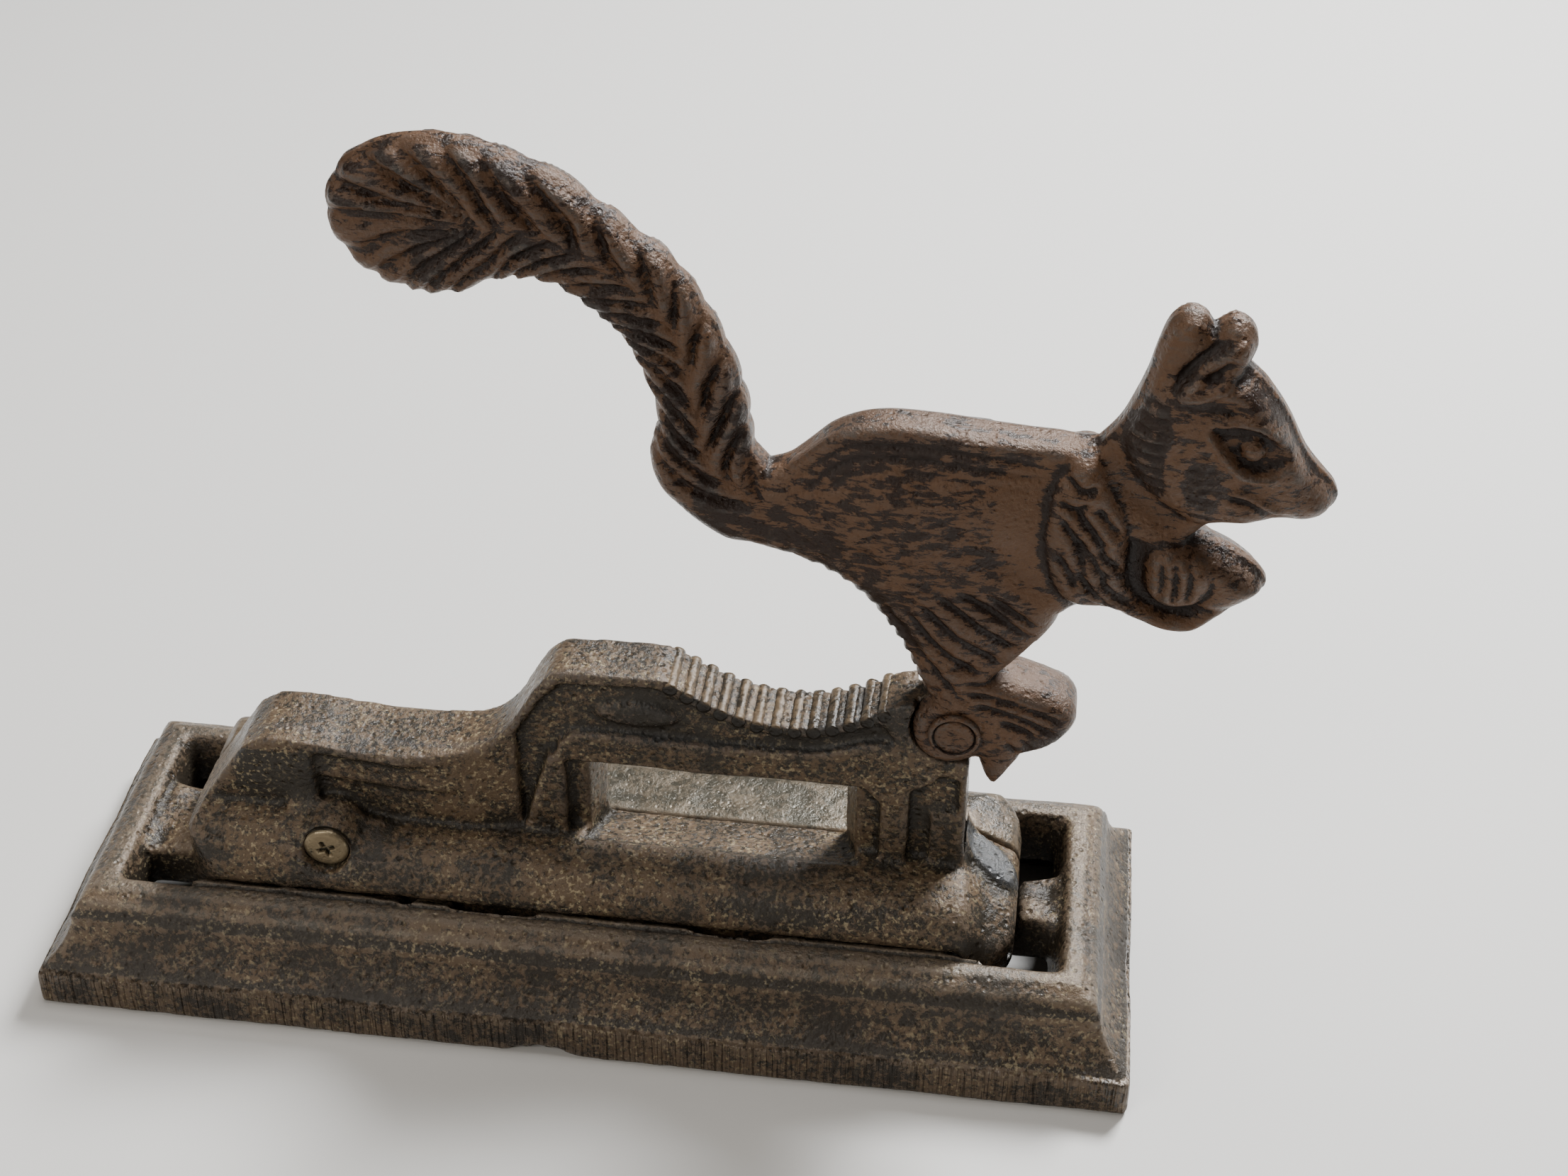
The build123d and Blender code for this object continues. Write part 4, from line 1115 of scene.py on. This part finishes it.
# ---- the castings of the stand ------------------------------------------------------------
@dataclass
class Casting:
    """A casting that starts from its frame node and gets cast edges, waviness and its own wear."""

    node: str
    piece: str
    voxel: float
    rounds: int = 3
    melt_rounds: int = 34
    wave: float = 0.22
    wave_size: float = 14.0
    lumps: float = 0.10

    def melt(self, p: np.ndarray) -> np.ndarray | None:
        """How far each place is melted into its surroundings, from 0 to 1, or None for nowhere."""
        return None

    def shape(self, p: np.ndarray) -> np.ndarray:
        """The places after this casting's own reshaping."""
        return p

    def polish_and_sheen(self, p: np.ndarray, n: np.ndarray) -> np.ndarray:
        """How far each place is rubbed bright, painted sheen included, from 0 to 1."""
        return np.zeros(len(p))

    def soot_and_shade(self, p: np.ndarray, n: np.ndarray) -> np.ndarray:
        """How far each place stays dark, from 0 to 1."""
        return np.zeros(len(p))

    def build(self, finish: bpy.types.Material) -> bpy.types.Object:
        """Build the casting.

        Args:
            finish: Its material.

        Returns:
            The piece.
        """
        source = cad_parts[self.node]
        obj = bpy.data.objects.new(self.piece, source.data.copy())
        bpy.context.scene.collection.objects.link(obj)
        face_outwards(obj, 1e-6)
        remesh = obj.modifiers.new("cast", "REMESH")
        remesh.mode = "VOXEL"
        remesh.voxel_size = self.voxel * MM
        bake_modifiers(obj)
        mesh = obj.data
        low = corners_of(mesh).min(0)
        corners = soften(mesh, corners_of(mesh), self.rounds)
        share = self.melt(corners / MM)
        if share is not None:
            melted = soften(mesh, corners, self.melt_rounds)
            corners = corners * (1 - share[:, None]) + melted * share[:, None]
        place_corners(mesh, corners)
        push = self.wave * noise(corners / MM, self.wave_size, 71) + self.lumps * noise(corners / MM, 3.2, 72)
        push += 0.6 * self.lumps * noise(corners / MM, 1.5, 73)
        corners = self.shape((corners + normals_of(mesh) * (push * MM)[:, None]) / MM) * MM
        box_low, box_high = (np.array(side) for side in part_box(self.node))
        corners = np.clip(corners, np.minimum(box_low, low), box_high)
        place_corners(mesh, corners)
        mark_relief(mesh, 0.6, 12)
        normals = normals_of(mesh)
        mark(mesh, "polish_and_sheen", self.polish_and_sheen(corners / MM, normals))
        mark(mesh, "soot_and_shade", self.soot_and_shade(corners / MM, normals))
        mesh.materials.clear()
        mesh.materials.append(finish)
        mesh.shade_smooth()
        return obj


@dataclass
class Plinth(Casting):
    """The moulded plinth with its openwork well."""

    node: str = "base_plinth"
    piece: str = "plinth"
    voxel: float = 0.78
    rounds: int = 2
    half_length: float = 105.0
    half_width: float = 34.8
    top: float = 22.2
    chip: tuple[float, float] = (-6.0, 7.5)

    def inset(self, p: np.ndarray) -> np.ndarray:
        """How far each place lies inside the plinth's outline, seen from above."""
        return np.minimum(self.half_length - np.abs(p[:, 0]), self.half_width - np.abs(p[:, 1]))

    def melt(self, p: np.ndarray) -> np.ndarray:
        """Round the well's webs and corners off."""
        well = ease(self.inset(p), 13.0, 16.0) * ease(p[:, 2], 12, 14)
        return 0.85 * well * ease(np.abs(p[:, 0]), 70, 76)

    def shape(self, p: np.ndarray) -> np.ndarray:
        """Chip the front lower edge, lift the ledges against the log and roughen the webs.

        Args:
            p: Places on the plinth.

        Returns:
            The moved places.
        """
        out = p.copy()
        off = np.abs(p[:, 1])
        ledge = ease(off, 18.2, 19.2) * (1 - ease(off, 20.6, 21.2)) * ease(p[:, 2], 19.6, 20.2)
        out[:, 2] += (1.6 + 0.25 * noise(p, 2.5, 83)) * ledge * (p[:, 2] < 21.4) * (np.abs(p[:, 0]) < 76)
        web = ease(self.inset(p), 15, 17) * (1 - ease(p[:, 2], 20, 21)) * (p[:, 2] > 12)
        out[:, 2] += 0.9 * noise(p, 4.5, 84) * web
        bite = np.clip(1 - np.hypot((p[:, 0] - self.chip[0]) / self.chip[1], p[:, 2] / 2.6), 0, 1)
        out[:, 1] += 2.2 * bite * (p[:, 1] < -30) * (1 + 0.4 * noise(p, 2.0, 81))
        return out

    def polish_and_sheen(self, p: np.ndarray, n: np.ndarray) -> np.ndarray:
        """Rub the bead and the flat rim, and lighten them further as a painted sheen.

        Args:
            p: Places on the plinth.
            n: Their normals.

        Returns:
            How far each place is rubbed and lightened as a painted sheen.
        """
        # Partly painted light: the flat rim's upward face and the bead are rubbed metal, lightened further as a sheen
        # from the light above.
        rim = ease(p[:, 2], self.top - 0.5, self.top) * ease(n[:, 2], 0.7, 0.95)
        bead = np.exp(-(((self.inset(p) - 8.2) / 0.8) ** 2)) * ease(p[:, 2], 19.4, 20.4)
        return np.clip(0.30 * rim + 0.35 * bead * (0.7 + 0.5 * noise(p, 3.0, 82)), 0, 1)

    def soot_and_shade(self, p: np.ndarray, n: np.ndarray) -> np.ndarray:
        """Keep the well, the line under the bead and the line over the foot dark, and paint shade on the underside.

        Args:
            p: Places on the plinth.
            n: Their normals.

        Returns:
            How far each place stays dark.
        """
        inset = self.inset(p)
        well = (inset > 13.6) * (1 - ease(p[:, 2], 14.5, 19.5))
        line = np.exp(-(((inset - 6.9) / 0.45) ** 2)) * ease(p[:, 2], 17.4, 18.2)
        foot = np.exp(-(((inset - 1.6) / 0.5) ** 2)) * ease(p[:, 2], 8.4, 9.0)
        # Painted shade: every face that turns downwards is made fully dark.
        return np.clip(0.8 * well + 0.9 * line + 0.6 * foot + (n[:, 2] < -0.7), 0, 1)


@dataclass
class Anvil(Casting):
    """The front of the log with its web, its bar and the post for the squirrel."""

    node: str = "anvil_casting"
    piece: str = "anvil_and_log"
    voxel: float = 0.58
    melt_rounds: int = 140
    screw: tuple[float, float] = (-49.6, 31.6)
    post_face: float = 70.9
    facet_start: tuple[float, float] = (70.9, 3.2)
    facet_run: tuple[float, float] = (10.4, -8.0)
    facet_half: float = 3.7
    facet_top: float = 33.2
    facet_slope: float = 0.50

    def facet(self, p: np.ndarray) -> np.ndarray:
        """The ground leaf-shaped facet on the log's nose.

        Args:
            p: Places on the casting.

        Returns:
            How far inside the facet each place lies, from 0 to 1.
        """
        run = np.array(self.facet_run)
        off = p[:, :2] - self.facet_start
        along = (off @ run) / (run @ run)
        aside = np.abs(off[:, 0] * run[1] - off[:, 1] * run[0]) / math.hypot(*run)
        wide = self.facet_half * np.sqrt(np.clip(4 * along * (1 - along), 0, 1))
        return ease(wide - aside, -0.2, 0.4) * ease(along, 0, 0.05) * (1 - ease(along, 0.95, 1)) * (p[:, 2] > 24)

    def melt(self, p: np.ndarray) -> np.ndarray:
        """Blend the screw's boss and the foot of the web into the log.

        Args:
            p: Places on the casting.

        Returns:
            How far each place is melted.
        """
        off = np.hypot(p[:, 0] - self.screw[0], p[:, 2] - self.screw[1])
        boss = ease(off, 4.4, 5.0) * (1 - ease(off, 8.5, 11.5)) * ease(-p[:, 1], 7.0, 9.5) * (p[:, 1] > -17.4)
        foot = np.exp(-(((p[:, 2] - 33.0) / 2.2) ** 2)) * ease(-p[:, 1], 3.5, 4.5) * (1 - ease(-p[:, 1], 9, 11))
        return np.clip(0.95 * boss + 0.06 * foot, 0, 1)

    def shape(self, p: np.ndarray) -> np.ndarray:
        """Round the log's nose, ramp it up to the post's foot and grind its facet flat.

        Args:
            p: Places on the casting.

        Returns:
            The moved places.
        """
        out = p.copy()
        nose = ease(p[:, 0], 70.5, 76) * (p[:, 2] > 20)
        out[:, 2] -= nose * 0.020 * np.abs(p[:, 1] + 0.6) ** 2
        past = p[:, 0] - self.post_face
        ramp = np.exp(-np.clip(past, 0, None) / 1.7) * (past > 0) * (1 - ease(np.abs(p[:, 1] - 1.2), 3.2, 5.5))
        out[:, 2] += 4.2 * ramp * ease(p[:, 2], 30, 31.5) * (p[:, 2] < 34)
        target = self.facet_top - self.facet_slope * (p[:, 0] - 70.6)
        out[:, 2] += self.facet(p) * np.clip(target - out[:, 2], -1.2, 1.0)
        return out

    def polish_and_sheen(self, p: np.ndarray, n: np.ndarray) -> np.ndarray:
        """Rub the facet, the post's ground edge, the bar's rim and the seat.

        Args:
            p: Places on the casting.
            n: Their normals.

        Returns:
            How far each place is rubbed.
        """
        post = ease(p[:, 0], 69.6, 70.3) * ease(n[:, 0], 0.3, 0.8)
        post *= ease(p[:, 2], 33, 36) * (1 - ease(p[:, 2], 57, 60))
        top = ease(n[:, 2], 0.55, 0.9) * ease(p[:, 2], 45, 50)
        edge = np.exp(-(((p[:, 1] + 5.2) / 0.9) ** 2)) * ease(p[:, 2], 46, 52)
        return np.clip(0.45 * self.facet(p) + 0.30 * post + 0.08 * top + 0.24 * edge * ease(n[:, 2], 0.1, 0.7), 0, 1)

    def soot_and_shade(self, p: np.ndarray, n: np.ndarray) -> np.ndarray:
        """Keep the recessed web, the end panel and the foot line dark in patches, and paint shade on the underside.

        Args:
            p: Places on the casting.
            n: Their normals.

        Returns:
            How far each place stays dark.
        """
        front = -n[:, 1]
        web = ease(front, 0.6, 0.9) * ease(p[:, 2], 33, 36) * ease(noise(p, 5.0, 91), -0.3, 0.4)
        band = np.exp(-(((p[:, 1] + 5.8) / 1.2) ** 2)) * ease(p[:, 2], 56, 60) * ease(front, 0.1, 0.6)
        low = ease(front, 0.2, 0.7) * (1 - ease(p[:, 2], 29, 32)) * ease(noise(p * (0.4, 1, 1), 6.0, 92), 0.0, 0.5)
        panel = ease(front, 0.5, 0.8) * ease(p[:, 0], -70, -66) * (1 - ease(p[:, 0], -54, -52.6))
        panel *= ease(p[:, 2], 37, 39) * (1 - ease(p[:, 2], 47.6, 48.8))
        patches = 0.9 * panel + 0.12 * web + 0.1 * band + 0.30 * low + 0.90 * self.facet(p)
        # Painted shade: every face that turns downwards is made fully dark.
        return np.clip(patches + (n[:, 2] < -0.6), 0, 1)


@dataclass
class RearLog(Casting):
    """The rear part of the log with its flat land behind the window."""

    node: str = "log_rear_half"
    piece: str = "rear_log"
    voxel: float = 0.8
    land: float = 27.6

    def polish_and_sheen(self, p: np.ndarray, n: np.ndarray) -> np.ndarray:
        """Grey the smooth flat land where it faces up: a ground surface, lightened as painted light from above."""
        # Partly painted light: the ground land is greyed only where it faces upwards, as if lit from above.
        return 0.5 * ease(n[:, 2], 0.85, 0.97) * (np.abs(p[:, 2] - self.land) < 1.0) * (p[:, 0] > -20)


# ---- pieces made with geometry nodes ----------------------------------------------------------
@dataclass
class SeatRibs:
    """The ribs across the nut seat, set along its curve."""

    seat: Points = field(default_factory=lambda: [
        (15.4, 70.2), (18, 68.8), (22, 66.6), (26, 64.7), (31, 63.2), (36, 62.6), (41, 62.8), (46, 64.2), (51, 66.4),
        (54.6, 68.4),
    ])
    count: int = 13
    radius: float = 1.3
    length: float = 11.0
    middle: float = -0.1

    def tree(self) -> bpy.types.NodeTree:
        """The tree that sets one worn bar at each step of a curve.

        Returns:
            The tree, with its sizes as named inputs.
        """
        group = bpy.data.node_groups.new("ribs_along_seat", "GeometryNodeTree")
        for label, kind in (
            ("Geometry", "NodeSocketGeometry"), ("Count", "NodeSocketInt"), ("Radius", "NodeSocketFloat"),
            ("Length", "NodeSocketFloat"), ("Wear", "NodeSocketFloat"), ("Material", "NodeSocketMaterial"),
        ):
            group.interface.new_socket(label, in_out="INPUT", socket_type=kind)
        group.interface.new_socket("Geometry", in_out="OUTPUT", socket_type="NodeSocketGeometry")
        tree = Tree(group)
        get = group.nodes.new("NodeGroupInput").outputs
        path = tree.add("GeometryNodeResampleCurve", {"Curve": get["Geometry"], "Count": get["Count"]})
        bar = tree.add(
            "GeometryNodeMeshCylinder",
            {"Vertices": 20, "Side Segments": 22, "Fill Segments": 3, "Radius": get["Radius"], "Depth": get["Length"]},
        )
        laid = tree.add(
            "GeometryNodeTransform", {"Geometry": bar.outputs["Mesh"], "Rotation": (math.pi / 2, 0.0, 0.0)}
        )
        set_out = tree.add(
            "GeometryNodeInstanceOnPoints", {"Points": path.outputs["Curve"], "Instance": laid.outputs["Geometry"]}
        )
        real = tree.add("GeometryNodeRealizeInstances", {"Geometry": set_out.outputs["Instances"]})
        rough = tree.add("ShaderNodeTexNoise", {"Scale": 620.0, "Detail": 2.0})
        centred = tree.add(
            "ShaderNodeVectorMath", {0: rough.outputs["Color"], 1: (0.5, 0.5, 0.5)}, operation="SUBTRACT"
        )
        offset = tree.add("ShaderNodeVectorMath", {0: centred.outputs[0], "Scale": get["Wear"]}, operation="SCALE")
        worn = tree.add(
            "GeometryNodeSetPosition", {"Geometry": real.outputs["Geometry"], "Offset": offset.outputs[0]}
        )
        soft = tree.add("GeometryNodeSetShadeSmooth", {"Geometry": worn.outputs["Geometry"]})
        done = tree.add(
            "GeometryNodeSetMaterial", {"Geometry": soft.outputs["Geometry"], "Material": get["Material"]}
        )
        out = group.nodes.new("NodeGroupOutput")
        tree.tree.links.new(done.outputs["Geometry"], out.inputs["Geometry"])
        return group

    def build(self, finish: bpy.types.Material) -> bpy.types.Object:
        """Build the ribs.

        Args:
            finish: Their material.

        Returns:
            All ribs as one piece.
        """
        line = smooth_line(self.seat)
        curve = bpy.data.curves.new("seat_line", "CURVE")
        curve.dimensions = "3D"
        spline = curve.splines.new("POLY")
        spline.points.add(len(line) - 1)
        for point, (x, z) in zip(spline.points, line):
            point.co = (x * MM, self.middle * MM, (z - 1.12) * MM, 1)
        holder = bpy.data.objects.new("seat_line", curve)
        bpy.context.scene.collection.objects.link(holder)
        modifier = holder.modifiers.new("ribs", "NODES")
        modifier.node_group = self.tree()
        values = {
            "Count": self.count, "Radius": self.radius * MM, "Length": self.length * MM, "Wear": 0.5 * MM,
            "Material": finish,
        }
        for item in modifier.node_group.interface.items_tree:
            if item.in_out == "INPUT" and item.name in values:
                modifier[item.identifier] = values[item.name]
        bpy.context.view_layer.update()
        graph = bpy.context.evaluated_depsgraph_get()
        mesh = bpy.data.meshes.new_from_object(holder.evaluated_get(graph), depsgraph=graph)
        bpy.data.objects.remove(holder)
        obj = bpy.data.objects.new("seat_ribs", mesh)
        bpy.context.scene.collection.objects.link(obj)
        corners = corners_of(mesh) / MM
        seat = np.interp(corners[:, 0], line[:, 0], line[:, 1])
        rise = corners[:, 2] - seat
        mark(mesh, "hollow", 1 - ease(rise, -0.75, -0.1))
        mark(mesh, "crest", 0.35 * ease(rise, -0.1, 0.3))
        mark(mesh, "soot_and_shade", np.zeros(len(corners)))
        mark(mesh, "polish_and_sheen", 0.08 * ease(rise, 0.0, 0.3))
        return obj


# ---- pin and screws -------------------------------------------------------------------------------
@dataclass
class PivotPin:
    """The riveted pin and its rings, worn bright round the rim."""

    centre: tuple[float, float] = (0.0674, 0.0656)

    def ring(self, side: int, finish: bpy.types.Material) -> bpy.types.Object:
        """One dished ring under the pin's end, on the front (-1) or rear (1) side.

        Args:
            side: Which side of the fork it lies on.
            finish: Its material.

        Returns:
            The ring.
        """
        profile = [(2.45, 6.3), (4.5, 6.3), (4.78, 6.55), (4.8, 7.0), (4.68, 7.45), (4.4, 7.76), (4.1, 7.74),
                   (3.9, 7.5), (3.8, 7.2), (2.45, 7.15), (2.45, 6.3)]
        obj = lathe(f"pivot_ring_{'front' if side < 0 else 'rear'}", self.centre, [(r, side * y) for r, y in profile])
        return dressed(obj, finish, 0.10, 4)

    def pin(self, finish: bpy.types.Material) -> bpy.types.Object:
        """The pin with both its hammered ends.

        Args:
            finish: Its material.

        Returns:
            The pin.
        """
        head = [(0.0, 7.9), (1.0, 7.92), (2.2, 7.9), (3.1, 7.82), (3.5, 7.64), (3.62, 7.36), (3.6, 7.1), (2.38, 6.95)]
        profile = [(r, -y) for r, y in head] + [(r, y) for r, y in reversed(head)]
        obj = lathe("pivot_pin_worn", self.centre, profile)
        corners = corners_of(obj.data)
        outer = np.abs(corners[:, 1]) > 7.3 * MM
        corners[:, 1] += np.sign(corners[:, 1]) * outer * 0.10 * MM * (noise(corners / MM, 1.3, 95) - 1)
        place_corners(obj.data, corners)
        return dressed(obj, finish, 0.10, 4)


def dressed(obj: bpy.types.Object, finish: bpy.types.Material, depth: float, rounds: int) -> bpy.types.Object:
    """Give a small piece its relief marks and its finish.

    Args:
        obj: The piece.
        finish: Its material.
        depth: Depth in millimetres that counts as fully hollow.
        rounds: How far around to look.

    Returns:
        The same piece.
    """
    mark_relief(obj.data, depth, rounds)
    count = len(obj.data.vertices)
    mark(obj.data, "soot_and_shade", np.zeros(count))
    mark(obj.data, "polish_and_sheen", np.zeros(count))
    obj.data.materials.clear()
    obj.data.materials.append(finish)
    return obj


@dataclass
class CrossScrew:
    """The cross-recess screw through the log: a low dome with a worn cross in it."""

    centre: tuple[float, float] = (-49.6, 31.6)
    face: float = -17.2
    radius: float = 4.3
    turn: float = 25.0

    def build(self, finish: bpy.types.Material) -> bpy.types.Object:
        """Build the screw.

        Args:
            finish: Its material.

        Returns:
            The piece.
        """
        turns, rings = 96, 26
        angle = np.arange(turns) * 2 * np.pi / turns
        radii = self.radius * (np.arange(1, rings + 1) / rings)
        corners = [(self.centre[0], self.face + 0.95, self.centre[1])]
        for r in radii:
            u = r * np.cos(angle - math.radians(self.turn))
            v = r * np.sin(angle - math.radians(self.turn))
            arm = np.minimum(np.abs(u), np.abs(v))
            deep = (1 - ease(arm, 0.28, 0.62)) * (1 - ease(np.full(turns, r), 1.3, 2.1))
            rim = 0.42 * max(0.0, (r - 3.3) / 1.0) ** 2
            y = self.face + 0.05 * (r / self.radius) ** 2 + rim + 0.95 * deep
            corners += list(zip(self.centre[0] + r * np.cos(angle), y, self.centre[1] + r * np.sin(angle)))
        faces = [(0, 1 + i, 1 + (i + 1) % turns) for i in range(turns)]
        for ring in range(rings - 1):
            base = 1 + ring * turns
            faces += [
                (base + i, base + turns + i, base + turns + (i + 1) % turns, base + (i + 1) % turns)
                for i in range(turns)
            ]
        for r, y in ((self.radius, self.face + 1.9), (2.0, self.face + 1.9), (2.0, 17.4)):
            base = len(corners)
            corners += list(
                zip(self.centre[0] + r * np.cos(angle), np.full(turns, y), self.centre[1] + r * np.sin(angle))
            )
            faces += [(base - turns + i, base + i, base + (i + 1) % turns, base - turns + (i + 1) % turns)
                      for i in range(turns)]
        faces.append(tuple(range(len(corners) - turns, len(corners))))
        obj = mesh_object("cross_screw_worn", np.array(corners) * MM, faces)
        face_outwards(obj)
        return dressed(obj, finish, 0.12, 5)


# ---- floor, lights and camera -------------------------------------------------------------------------
@dataclass
class Studio:
    """Pale floor, soft lights and the camera."""

    aim: tuple[float, float] = (6.76, 38.09)
    roll: float = 0.71
    place: tuple[float, float, float] = (74.0, -325.5, 347.5)
    focal: float = 54.07

    def floor(self) -> bpy.types.Object:
        """The pale floor that the plinth stands on.

        Returns:
            The floor.
        """
        size = 3.0
        obj = mesh_object("floor", np.array([(-size, -size, 0), (size, -size, 0), (size, size, 0), (-size, size, 0)]),
                          [(0, 1, 2, 3)])
        made = bpy.data.materials.new("pale_floor")
        made.use_nodes = True
        shader = made.node_tree.nodes["Principled BSDF"]
        shader.inputs["Base Color"].default_value = (0.56, 0.545, 0.52, 1)
        shader.inputs["Roughness"].default_value = 0.7
        obj.data.materials.append(made)
        return obj

    def lamp(self, name: str, place: tuple, target: tuple, size: float, power: float, colour: tuple) -> None:
        """One soft square light, aimed at a place.

        Args:
            name: Its name.
            place: Where it hangs, in metres.
            target: What it is aimed at, in metres.
            size: Its side in metres.
            power: Its strength in watts.
            colour: Its colour in linear light.
        """
        light = bpy.data.lights.new(name, "AREA")
        light.size = size
        light.energy = power
        light.color = colour
        obj = bpy.data.objects.new(name, light)
        obj.location = place
        obj.rotation_euler = (Vector(target) - Vector(place)).to_track_quat("-Z", "Y").to_euler()
        bpy.context.scene.collection.objects.link(obj)

    def lights(self) -> None:
        """A large window light from behind on the right, a fill from the left and a soft sky."""
        self.lamp("window", (0.40, 0.62, 0.80), (0.0, 0, 0.06), 0.30, 32.0, (0.96, 0.98, 1.0))
        self.lamp("fill", (-0.6, -0.75, 0.7), (0, 0, 0.06), 0.5, 6.0, (1.0, 0.96, 0.90))
        self.lamp("crown", (0.0, 0.1, 1.1), (0, 0, 0.06), 0.5, 5.0, (1.0, 0.98, 0.96))
        world = bpy.data.worlds.new("soft_sky")
        world.use_nodes = True
        world.node_tree.nodes["Background"].inputs["Color"].default_value = (1.0, 0.97, 0.93, 1)
        world.node_tree.nodes["Background"].inputs["Strength"].default_value = 0.13
        bpy.context.scene.world = world

    def camera(self) -> None:
        """The camera, looking down along the front of the plinth."""
        azimuth, height = (math.radians(a) for a in self.aim)
        level = math.cos(height)
        ahead = Vector((-math.sin(azimuth) * level, math.cos(azimuth) * level, -math.sin(height)))
        right = ahead.cross(Vector((0, 0, 1))).normalized()
        up = right.cross(ahead)
        c, s = math.cos(math.radians(self.roll)), math.sin(math.radians(self.roll))
        right, up = c * right + s * up, c * up - s * right
        turn = Matrix((right, up, -ahead)).transposed()
        lens = bpy.data.cameras.new("camera")
        lens.sensor_width = 36.0
        lens.lens = self.focal
        obj = bpy.data.objects.new("camera", lens)
        obj.matrix_world = Matrix.Translation(Vector(self.place) * MM) @ turn.to_4x4()
        bpy.context.scene.collection.objects.link(obj)
        bpy.context.scene.camera = obj


def settle(obj: bpy.types.Object, body: Body, slot: str, *nodes: str) -> None:
    """Attach a piece to its body, and hide the frame nodes that it stands for.

    Args:
        obj: The piece.
        body: The body that it moves with.
        slot: Not used.
        nodes: The frame nodes that it replaces.
    """
    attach(obj, body.value)
    if nodes:
        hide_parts(*nodes)
    LOG.info("%s: %d faces, rides on %s", obj.name, len(obj.data.polygons), body.value)


def main() -> None:
    """Build every piece in order."""
    logging.basicConfig(level=logging.INFO, format="%(name)s %(message)s")
    studio = Studio()
    studio.floor()
    studio.lights()
    studio.camera()
    patina, skin = patina_group(), skin_group()
    squirrel_iron = IronFinish(
        "squirrel_patina", metal=(0.080, 0.077, 0.072), grain=Grain.MEDIUM, bump=0.85, fleck_share=0.08, contrast=5.2,
        streak=(0.55, 0.9, 1.6), brown_share=0.55,
    )
    anvil_iron = IronFinish(
        "anvil_patina", dark=(0.026, 0.021, 0.015), brown=(0.105, 0.068, 0.038), fleck=(0.33, 0.26, 0.15),
        metal=(0.085, 0.092, 0.10), brown_share=0.50, fleck_share=0.75, blotch=820.0, contrast=2.8,
        grain=Grain.COARSE, bump=0.95, pits=0.8,
    )
    rear_iron = IronFinish(
        "rear_patina", dark=(0.030, 0.025, 0.018), brown=(0.105, 0.074, 0.046), metal=(0.085, 0.079, 0.060),
        brown_share=0.5, fleck_share=0.5, bump=0.45,
    )
    plinth_iron = IronFinish(
        "plinth_patina", dark=(0.028, 0.022, 0.016), brown=(0.105, 0.070, 0.042), fleck=(0.32, 0.255, 0.15),
        metal=(0.17, 0.155, 0.13), brown_share=0.50, fleck_share=0.6, blotch=760.0, contrast=2.8,
        grain=Grain.COARSE, bump=0.95, pits=0.8, filed=True,
    )
    rib_iron = IronFinish(
        "rib_patina", dark=(0.026, 0.021, 0.015), brown=(0.098, 0.068, 0.040), metal=(0.13, 0.098, 0.064),
        brown_share=0.55, fleck_share=0.4, grain=Grain.MEDIUM, bump=0.5,
    )
    brass = IronFinish(
        "tarnished_brass", dark=(0.05, 0.045, 0.03), brown=(0.19, 0.145, 0.085), fleck=(0.32, 0.26, 0.15),
        metal=(0.36, 0.30, 0.2), brown_share=0.7, fleck_share=0.3, grain=Grain.FINE, bump=0.25, metallic=0.6,
    )
    steel = IronFinish("dull_steel", brown=(0.12, 0.105, 0.09), grain=Grain.FINE, metallic=0.6, bump=0.2)
    finishes = (squirrel_iron, anvil_iron, rear_iron, plinth_iron, rib_iron, brass, steel)
    made = {finish.name: finish.build(patina, skin) for finish in finishes}
    settle(Squirrel().build(made["squirrel_patina"]), Body.SQUIRREL, "squirrel_iron", "squirrel_lever")
    settle(Anvil().build(made["anvil_patina"]), Body.STAND, "anvil_iron", "anvil_casting")
    settle(RearLog().build(made["rear_patina"]), Body.STAND, "rear_iron", "log_rear_half")
    settle(Plinth().build(made["plinth_patina"]), Body.STAND, "plinth_iron", "base_plinth")
    settle(SeatRibs().build(made["rib_patina"]), Body.STAND, "anvil_iron")
    pin = PivotPin()
    settle(pin.pin(made["squirrel_patina"]), Body.SQUIRREL, "pivot_iron", "pivot_pin")
    front_ring = pin.ring(-1, made["squirrel_patina"])
    rear_ring = pin.ring(1, made["squirrel_patina"])
    settle(front_ring, Body.SQUIRREL, "pivot_iron", "pivot_washers")
    settle(rear_ring, Body.SQUIRREL, "pivot_iron")
    settle(CrossScrew().build(made["tarnished_brass"]), Body.STAND, "screw_brass", "cross_screw")
    for name in ("cross_nut", "base_screws"):
        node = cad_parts[name]
        node.data.materials.clear()
        node.data.materials.append(made["dull_steel"])


if __name__ == "__main__":
    main()
